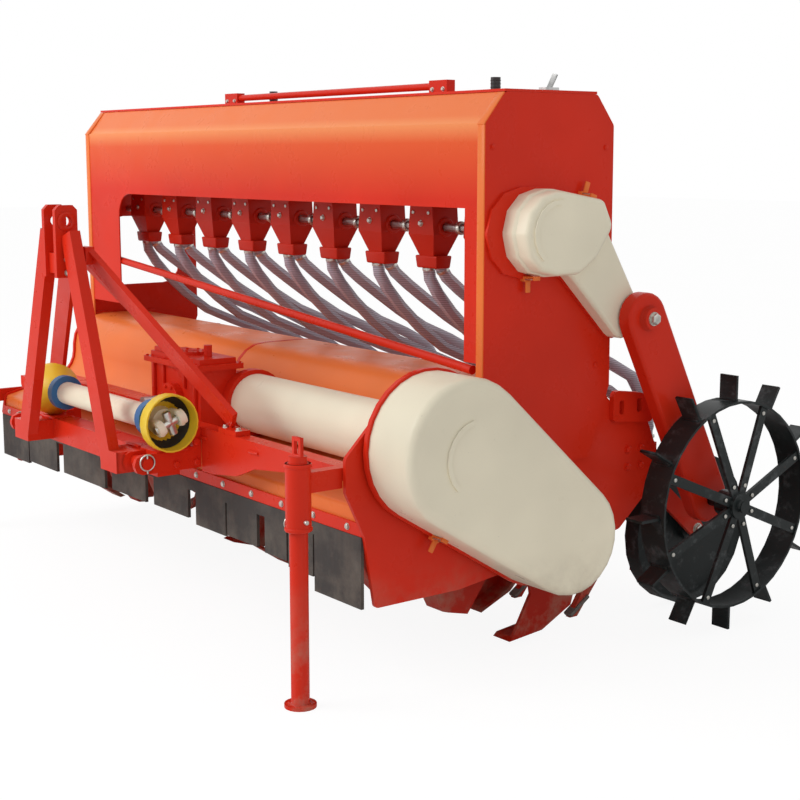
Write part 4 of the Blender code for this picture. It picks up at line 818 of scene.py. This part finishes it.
class SEEDDRILL_OT_hose_fittings(bpy.types.Operator):
    """Clamp the seed hoses to their sockets and boots"""
    bl_idname = "seed_drill.hose_fittings"
    bl_label = "Hose clamps"

    def execute(self, context):
        width = context.scene.seed_drill_sizes.clamp
        bands = bmesh.new()
        ears = bmesh.new()
        socket_z = 0.9037
        boot_y, boot_z = 0.665, 0.4425
        bore = 0.0150
        hoses = (
            # place across the row, direction at the socket, distance of the band along it
            (-HOSE_ASIDE, Vector((0, 0.12, -1)), 0.018),
            (HOSE_ASIDE, Vector((0, 0.66, -1)), 0.020),
        )
        for row_x in ROWS:
            for aside, lean, along in hoses:
                x = row_x + aside
                socket = Vector((x, FEED_AXIS.y, socket_z))
                band(bands, socket + lean * along, lean, bore, 0.0165, width * 0.8, 20)
                band(bands, (x, boot_y, boot_z), UP, bore, 0.0172, width, 20)
                slab(ears, (x - 0.004, boot_y + 0.014, 0.438), (x + 0.004, boot_y + 0.025, 0.447), 0.0012)
        finished(bands, "hose_bands", "zinc", "frame")
        finished(ears, "clamp_ears", "zinc", "frame")
        return {"FINISHED"}


class SEEDDRILL_OT_pins(bpy.types.Operator):
    """Hang the linch pins on the hitch pins and the locking pins on the stands"""
    bl_idname = "seed_drill.pins"
    bl_label = "Hitch and stand pins"

    def execute(self, context):
        wire = context.scene.seed_drill_sizes.wire
        pins = bmesh.new()
        hitch_y, hitch_z = HITCH_PIN
        outer_end, inner_end = 0.3782, 0.2975
        lock_z, lock_half = 0.408, 0.034
        for side in (-1, 1):
            x = side * outer_end
            bead(pins, (x, hitch_y, 0.412), (x, hitch_y, 0.456), 0.0026)
            ring(pins, (x, hitch_y, hitch_z + 0.004), RIGHT, 0.019, wire)
            x = side * inner_end
            bead(pins, (x, hitch_y, 0.414), (x, hitch_y, 0.456), 0.0026)
            bolt(pins, (side * (inner_end - 0.0003), hitch_y, hitch_z), (-side, 0, 0), 0.012, 14)
            x = side * STAND.x
            bead(pins, (x - lock_half, STAND.y, lock_z), (x + lock_half, STAND.y, lock_z), 0.005, 12)
            ring(pins, (x - side * 0.0325, STAND.y, lock_z - 0.012), RIGHT, 0.014, wire)
        finished(pins, "linch_pins", "zinc", "frame")
        collars = bmesh.new()
        for side in (-1, 1):
            for z in (0.3895, 0.5255):
                band(collars, (side * STAND.x, STAND.y, z), UP, 0.0212, 0.0300, 0.009)
        finished(collars, "sleeve_collars", "red_paint", "frame")
        return {"FINISHED"}


class SEEDDRILL_OT_rotor_bolts(bpy.types.Operator):
    """Bolt the blades to the rotor's flanges"""
    bl_idname = "seed_drill.rotor_bolts"
    bl_label = "Blade bolts"

    def execute(self, context):
        bm = bmesh.new()
        axis_y, axis_z = ROTOR_AXIS
        flanges, end_flange, bolt_circle = 8, 0.9612, 0.094
        first_blade, flange_twist = -59, 17
        for i in range(flanges):
            flange = end_flange * (1 - 2 * i / (flanges - 1))
            for k in range(4):
                # A flange carries its blades on both sides in turn, and an end flange on its inner side
                leftwards = (k % 2 or i == 0) and i != flanges - 1
                side = -1 if leftwards else 1
                for lean in (-8, 8):
                    turn = math.radians(first_blade + 90 * k + flange_twist * i + lean)
                    y = axis_y + bolt_circle * math.cos(turn)
                    z = axis_z + bolt_circle * math.sin(turn)
                    bolt(bm, (flange + side * 0.0135, y, z), (side, 0, 0), 0.009, washer=False)
                    bolt(bm, (flange - side * 0.006, y, z), (-side, 0, 0), 0.009, washer=False)
        finished(bm, "blade_bolts", "worn_steel", "rotor")
        return {"FINISHED"}


class SEEDDRILL_OT_wheel_fittings(bpy.types.Operator):
    """Fit the ground wheel's nut, rivets and weld beads, and the arm's pivot bolt"""
    bl_idname = "seed_drill.wheel_fittings"
    bl_label = "Wheel fittings"

    def execute(self, context):
        nuts = bmesh.new()
        welds = bmesh.new()
        axis = Vector((0, WHEEL_AXIS.y, WHEEL_AXIS.z))
        bolt(nuts, axis + Vector((1.1885, 0, 0)), RIGHT, 0.0165, washer=False)
        band(welds, axis + Vector((1.1865, 0, 0)), RIGHT, 0.016, 0.030, 0.004)
        spokes, lugs = 8, 12
        for i in range(spokes):
            angle = math.tau * (i + 0.5) / spokes
            away = Vector((0, math.cos(angle), math.sin(angle)))
            # A rivet at the hub and one at the rim: distance from the axis, x of the spoke's face
            for reach, x in ((0.052, 1.1812), (0.236, 1.1715)):
                bolt(nuts, axis + away * reach + Vector((x, 0, 0)), RIGHT, 0.0065, 12, False)
        rim_radius, lug_half, lug_low, lug_high = 0.2575, 0.005, 1.114, 1.161
        for i in range(lugs):
            angle = math.tau * i / lugs - math.pi / 2
            away = Vector((0, math.cos(angle), math.sin(angle)))
            across = Vector((0, -math.sin(angle), math.cos(angle)))
            for side in (-1, 1):
                spot = axis + away * rim_radius + across * side * lug_half
                bead(welds, spot + Vector((lug_low, 0, 0)), spot + Vector((lug_high, 0, 0)), 0.0035, 8)
        finished(nuts, "wheel_nuts", "zinc", "ground_wheel")
        finished(welds, "wheel_welds", "wheel_iron", "ground_wheel")
        pivot = bmesh.new()
        bolt(pivot, (corners("wheel_arm")[1].x, *ARM_PIN), RIGHT, 0.017)
        finished(pivot, "arm_pivot_bolt", "zinc", "wheel_arm")
        return {"FINISHED"}


class SEEDDRILL_OT_lid_fittings(bpy.types.Operator):
    """Hinge the lid, and dress its rail and knobs"""
    bl_idname = "seed_drill.lid_fittings"
    bl_label = "Lid fittings"

    def execute(self, context):
        hinges = bmesh.new()
        half, hinge_y, hinge_z = 0.035, 0.335, 1.306
        leaf_y, leaf_top = 0.315, 1.3085
        for x in (-0.75, -0.25, 0.25, 0.75):
            bead(hinges, (x - half, hinge_y, hinge_z), (x + half, hinge_y, hinge_z), 0.0065, 12)
            slab(hinges, (x - half, 0.300, 1.3055), (x + half, 0.333, leaf_top), 0.001)
            for aside in (-0.022, 0.022):
                bolt(hinges, (x + aside, leaf_y, leaf_top), UP, 0.005, 12, False)
        finished(hinges, "lid_hinges", "red_paint", "lid")

        screws = bmesh.new()
        rail_low, rail_high = corners("lid_rail")
        foot_inset, foot_z = 0.035, 1.322
        for foot_x in (rail_low.x + foot_inset, rail_high.x - foot_inset):
            for aside in (-0.021, 0.021):
                bolt(screws, (foot_x + aside, rail_low.y, foot_z), FORWARD, 0.006)
        finished(screws, "rail_screws", "zinc", "lid")

        grips = bmesh.new()
        for node in ("lid_knob_left", "lid_knob_right"):
            knob = centre(node)
            for z in (1.315, 1.323, 1.331, 1.339):
                ring(grips, (knob.x, knob.y, z), UP, 0.0118, 0.0013, 24, 6)
        finished(grips, "knob_grips", "knob_black", "lid")
        return {"FINISHED"}


def cup_spout(spouts, x):
    """A block that narrows downwards, between a feed cup and its two hoses."""
    part = bmesh.new()
    round_bar(part, 1.0, 1.0, 0.031, 4, turned(math.pi / 4, "Z"))
    for vert in part.verts:
        half_x, half_y = (0.043, 0.025) if vert.co.z > 0 else (0.0392, 0.0222)
        vert.co.x = math.copysign(half_x, vert.co.x)
        vert.co.y = math.copysign(half_y, vert.co.y)
    rounded(part, list(part.edges), 0.004, 3)
    settle(spouts, part, moved(x, FEED_AXIS.y, 0.9045))


class SEEDDRILL_OT_feed_fittings(bpy.types.Operator):
    """Add the feed cups' spouts, screws and side caps, and the shaft's collars"""
    bl_idname = "seed_drill.feed_fittings"
    bl_label = "Feed fittings"

    def execute(self, context):
        spouts = bmesh.new()
        screws = bmesh.new()
        caps = bmesh.new()
        collars = bmesh.new()
        cup_front = 0.103
        for x in ROWS:
            cup_spout(spouts, x)
            for aside in (-0.030, 0.030):
                bolt(screws, (x + aside, cup_front, 1.025), FORWARD, 0.006, 12, False)
            bolt(screws, (x, cup_front, 0.999), FORWARD, 0.008)
            for side in (-1, 1):
                spot = (x + side * 0.0475, FEED_AXIS.y, FEED_AXIS.z)
                band(caps, spot, RIGHT, 0.0125, 0.024, 0.008, 20)
        for x in ROWS[1:]:
            spot = (x - ROW_SPACING / 2, FEED_AXIS.y, FEED_AXIS.z)
            band(collars, spot, RIGHT, 0.0095, 0.0165, 0.014, 20)
        # The spouts and caps take the cups' red, darkened as painted shade
        finished(spouts, "cup_spouts", "shaded_red", "frame")
        finished(screws, "cup_screws", "zinc", "frame")
        finished(caps, "cup_caps", "shaded_red", "frame")
        finished(collars, "shaft_collars", "zinc", "feed_shaft")
        return {"FINISHED"}


class SEEDDRILL_OT_opener_clamps(bpy.types.Operator):
    """Clamp the opener shanks to the rear toolbar and tip them with steel points"""
    bl_idname = "seed_drill.opener_clamps"
    bl_label = "Opener clamps"

    def execute(self, context):
        plates = bmesh.new()
        nuts = bmesh.new()
        points = bmesh.new()
        half, foot, top = 0.036, 0.396, 0.464
        rear_face = 0.5255
        point_tilt = math.radians(34)
        for x in ROWS:
            for front, rear in ((0.5185, rear_face), (0.455, 0.4615)):
                slab(plates, (x - half, front, foot), (x + half, rear, top), 0.0015)
            for aside in (-0.025, 0.025):
                for z in (0.408, 0.452):
                    bolt(nuts, (x + aside, rear_face, z), REARWARD, 0.008)
            place = moved(x, 0.4275, 0.0135) @ turned(point_tilt, "X")
            slab(points, (-0.014, -0.016, -0.004), (0.014, 0.060, 0.006), 0.003, place)
        finished(plates, "clamp_plates", "red_paint", "frame")
        finished(nuts, "clamp_nuts", "zinc", "frame")
        finished(points, "opener_points", "worn_steel", "frame")
        return {"FINISHED"}


# Stage

def set_camera(scene, focal):
    lens = bpy.data.cameras.new("camera")
    lens.lens = focal
    lens.sensor_width = SENSOR_WIDTH
    camera = bpy.data.objects.new("camera", lens)
    scene.collection.objects.link(camera)
    camera.location = Vector(CAMERA_SPOT) + SHIFT
    camera.rotation_euler = [math.radians(angle) for angle in CAMERA_TURN]
    scene.camera = camera


def lay_floor(scene, pale):
    """A floor that the camera sees nearly white, with the machine's shadow still on it."""
    mesh = bpy.data.meshes.new("floor")
    bm = bmesh.new()
    bmesh.ops.create_grid(bm, x_segments=1, y_segments=1, size=30.0)
    bm.to_mesh(mesh)
    bm.free()
    floor = bpy.data.objects.new("floor", mesh)
    scene.collection.objects.link(floor)

    material, tree, shader = new_material("floor")
    drift = spread(tree, noise(tree, object_coordinates(tree), 0.8, 3.0))
    link(tree, blended(tree, drift, shade(pale, 0.98), shade(pale, 1.02)), shader.inputs["Base Color"])
    shader.inputs["Roughness"].default_value = 0.9
    glow = tree.nodes.new("ShaderNodeEmission")
    glow.inputs["Color"].default_value = WHITE
    glow.inputs["Strength"].default_value = 1.06
    path = tree.nodes.new("ShaderNodeLightPath")
    glow_share = ranged(tree, path.outputs["Is Camera Ray"], 0.0, 1.0, 0.0, 0.86)
    mix = tree.nodes.new("ShaderNodeMixShader")
    link(tree, glow_share, mix.inputs["Fac"])
    link(tree, shader.outputs["BSDF"], mix.inputs[1])
    link(tree, glow.outputs["Emission"], mix.inputs[2])
    link(tree, mix.outputs["Shader"], tree.nodes["Material Output"].inputs["Surface"])
    mesh.materials.append(material)


def light_all_round(scene, fill):
    """A world that is white to the camera and in reflections, and a softer light to everything else."""
    world = bpy.data.worlds.new("studio")
    scene.world = world
    world.use_nodes = True
    tree = world.node_tree
    background = tree.nodes["Background"]
    path = tree.nodes.new("ShaderNodeLightPath")
    seen = tree.nodes.new("ShaderNodeMath")
    seen.operation = "MAXIMUM"
    link(tree, path.outputs["Is Camera Ray"], seen.inputs[0])
    link(tree, path.outputs["Is Glossy Ray"], seen.inputs[1])
    strength = ranged(tree, seen.outputs["Value"], 0.0, 1.0, fill, 1.0)
    background.inputs["Color"].default_value = WHITE
    link(tree, strength, background.inputs["Strength"])


def hang_lamps(scene, power):
    lamps = (
        # name, spot, aim, size, share of the key light's power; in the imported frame
        ("key", (-1.8, -4.6, 3.6), (0.2, 0.0, 0.6), 3.0, 1.0),
        ("side", (4.6, -0.6, 2.4), (0.4, 0.0, 0.6), 2.6, 0.06),
    )
    for name, spot, aim, size, share in lamps:
        lamp = bpy.data.lights.new(name, "AREA")
        lamp.energy = power * share
        lamp.size = size
        obj = bpy.data.objects.new(name, lamp)
        scene.collection.objects.link(obj)
        obj.location = spot
        obj.rotation_euler = (Vector(aim) - Vector(spot)).to_track_quat("-Z", "Y").to_euler()


class SEEDDRILL_OT_stage(bpy.types.Operator):
    """Lay the pale floor and set the camera, the lamps and the world"""
    bl_idname = "seed_drill.stage"
    bl_label = "Set the stage"

    def execute(self, context):
        settings = context.scene.seed_drill_stage
        set_camera(context.scene, settings.focal)
        lay_floor(context.scene, tuple(settings.floor))
        light_all_round(context.scene, settings.fill)
        hang_lamps(context.scene, settings.key)
        context.scene.view_settings.view_transform = "Standard"
        return {"FINISHED"}


class SEEDDRILL_PT_panel(bpy.types.Panel):
    """Lists the pieces, their sizes and colours, and the stage"""
    bl_idname = "SEEDDRILL_PT_panel"
    bl_label = "Seed Drill"
    bl_space_type = "VIEW_3D"
    bl_region_type = "UI"
    bl_category = "Seed Drill"

    def draw(self, context):
        for name in STEPS:
            self.layout.operator(f"seed_drill.{name}")
        scene = context.scene
        for group in (scene.seed_drill_paints, scene.seed_drill_sizes, scene.seed_drill_stage):
            for prop in group.bl_rna.properties.keys():
                if prop not in ("rna_type", "name"):
                    self.layout.prop(group, prop)


STEPS = (
    "paint", "round_off", "bolts", "latches", "seams", "yokes", "hose_fittings", "pins", "rotor_bolts",
    "wheel_fittings", "lid_fittings", "feed_fittings", "opener_clamps", "stage",
)
CLASSES = (
    SeedDrillPaints,
    SeedDrillSizes,
    StageSettings,
    SEEDDRILL_OT_paint,
    SEEDDRILL_OT_round_off,
    SEEDDRILL_OT_bolts,
    SEEDDRILL_OT_latches,
    SEEDDRILL_OT_seams,
    SEEDDRILL_OT_yokes,
    SEEDDRILL_OT_hose_fittings,
    SEEDDRILL_OT_pins,
    SEEDDRILL_OT_rotor_bolts,
    SEEDDRILL_OT_wheel_fittings,
    SEEDDRILL_OT_lid_fittings,
    SEEDDRILL_OT_feed_fittings,
    SEEDDRILL_OT_opener_clamps,
    SEEDDRILL_OT_stage,
    SEEDDRILL_PT_panel,
)


def register():
    for cls in CLASSES:
        bpy.utils.register_class(cls)
    bpy.types.Scene.seed_drill_paints = bpy.props.PointerProperty(type=SeedDrillPaints)
    bpy.types.Scene.seed_drill_sizes = bpy.props.PointerProperty(type=SeedDrillSizes)
    bpy.types.Scene.seed_drill_stage = bpy.props.PointerProperty(type=StageSettings)


def unregister():
    del bpy.types.Scene.seed_drill_stage
    del bpy.types.Scene.seed_drill_sizes
    del bpy.types.Scene.seed_drill_paints
    for cls in reversed(CLASSES):
        bpy.utils.unregister_class(cls)


def main():
    register()
    for name in STEPS:
        getattr(bpy.ops.seed_drill, name)()


if __name__ == "__main__":
    main()
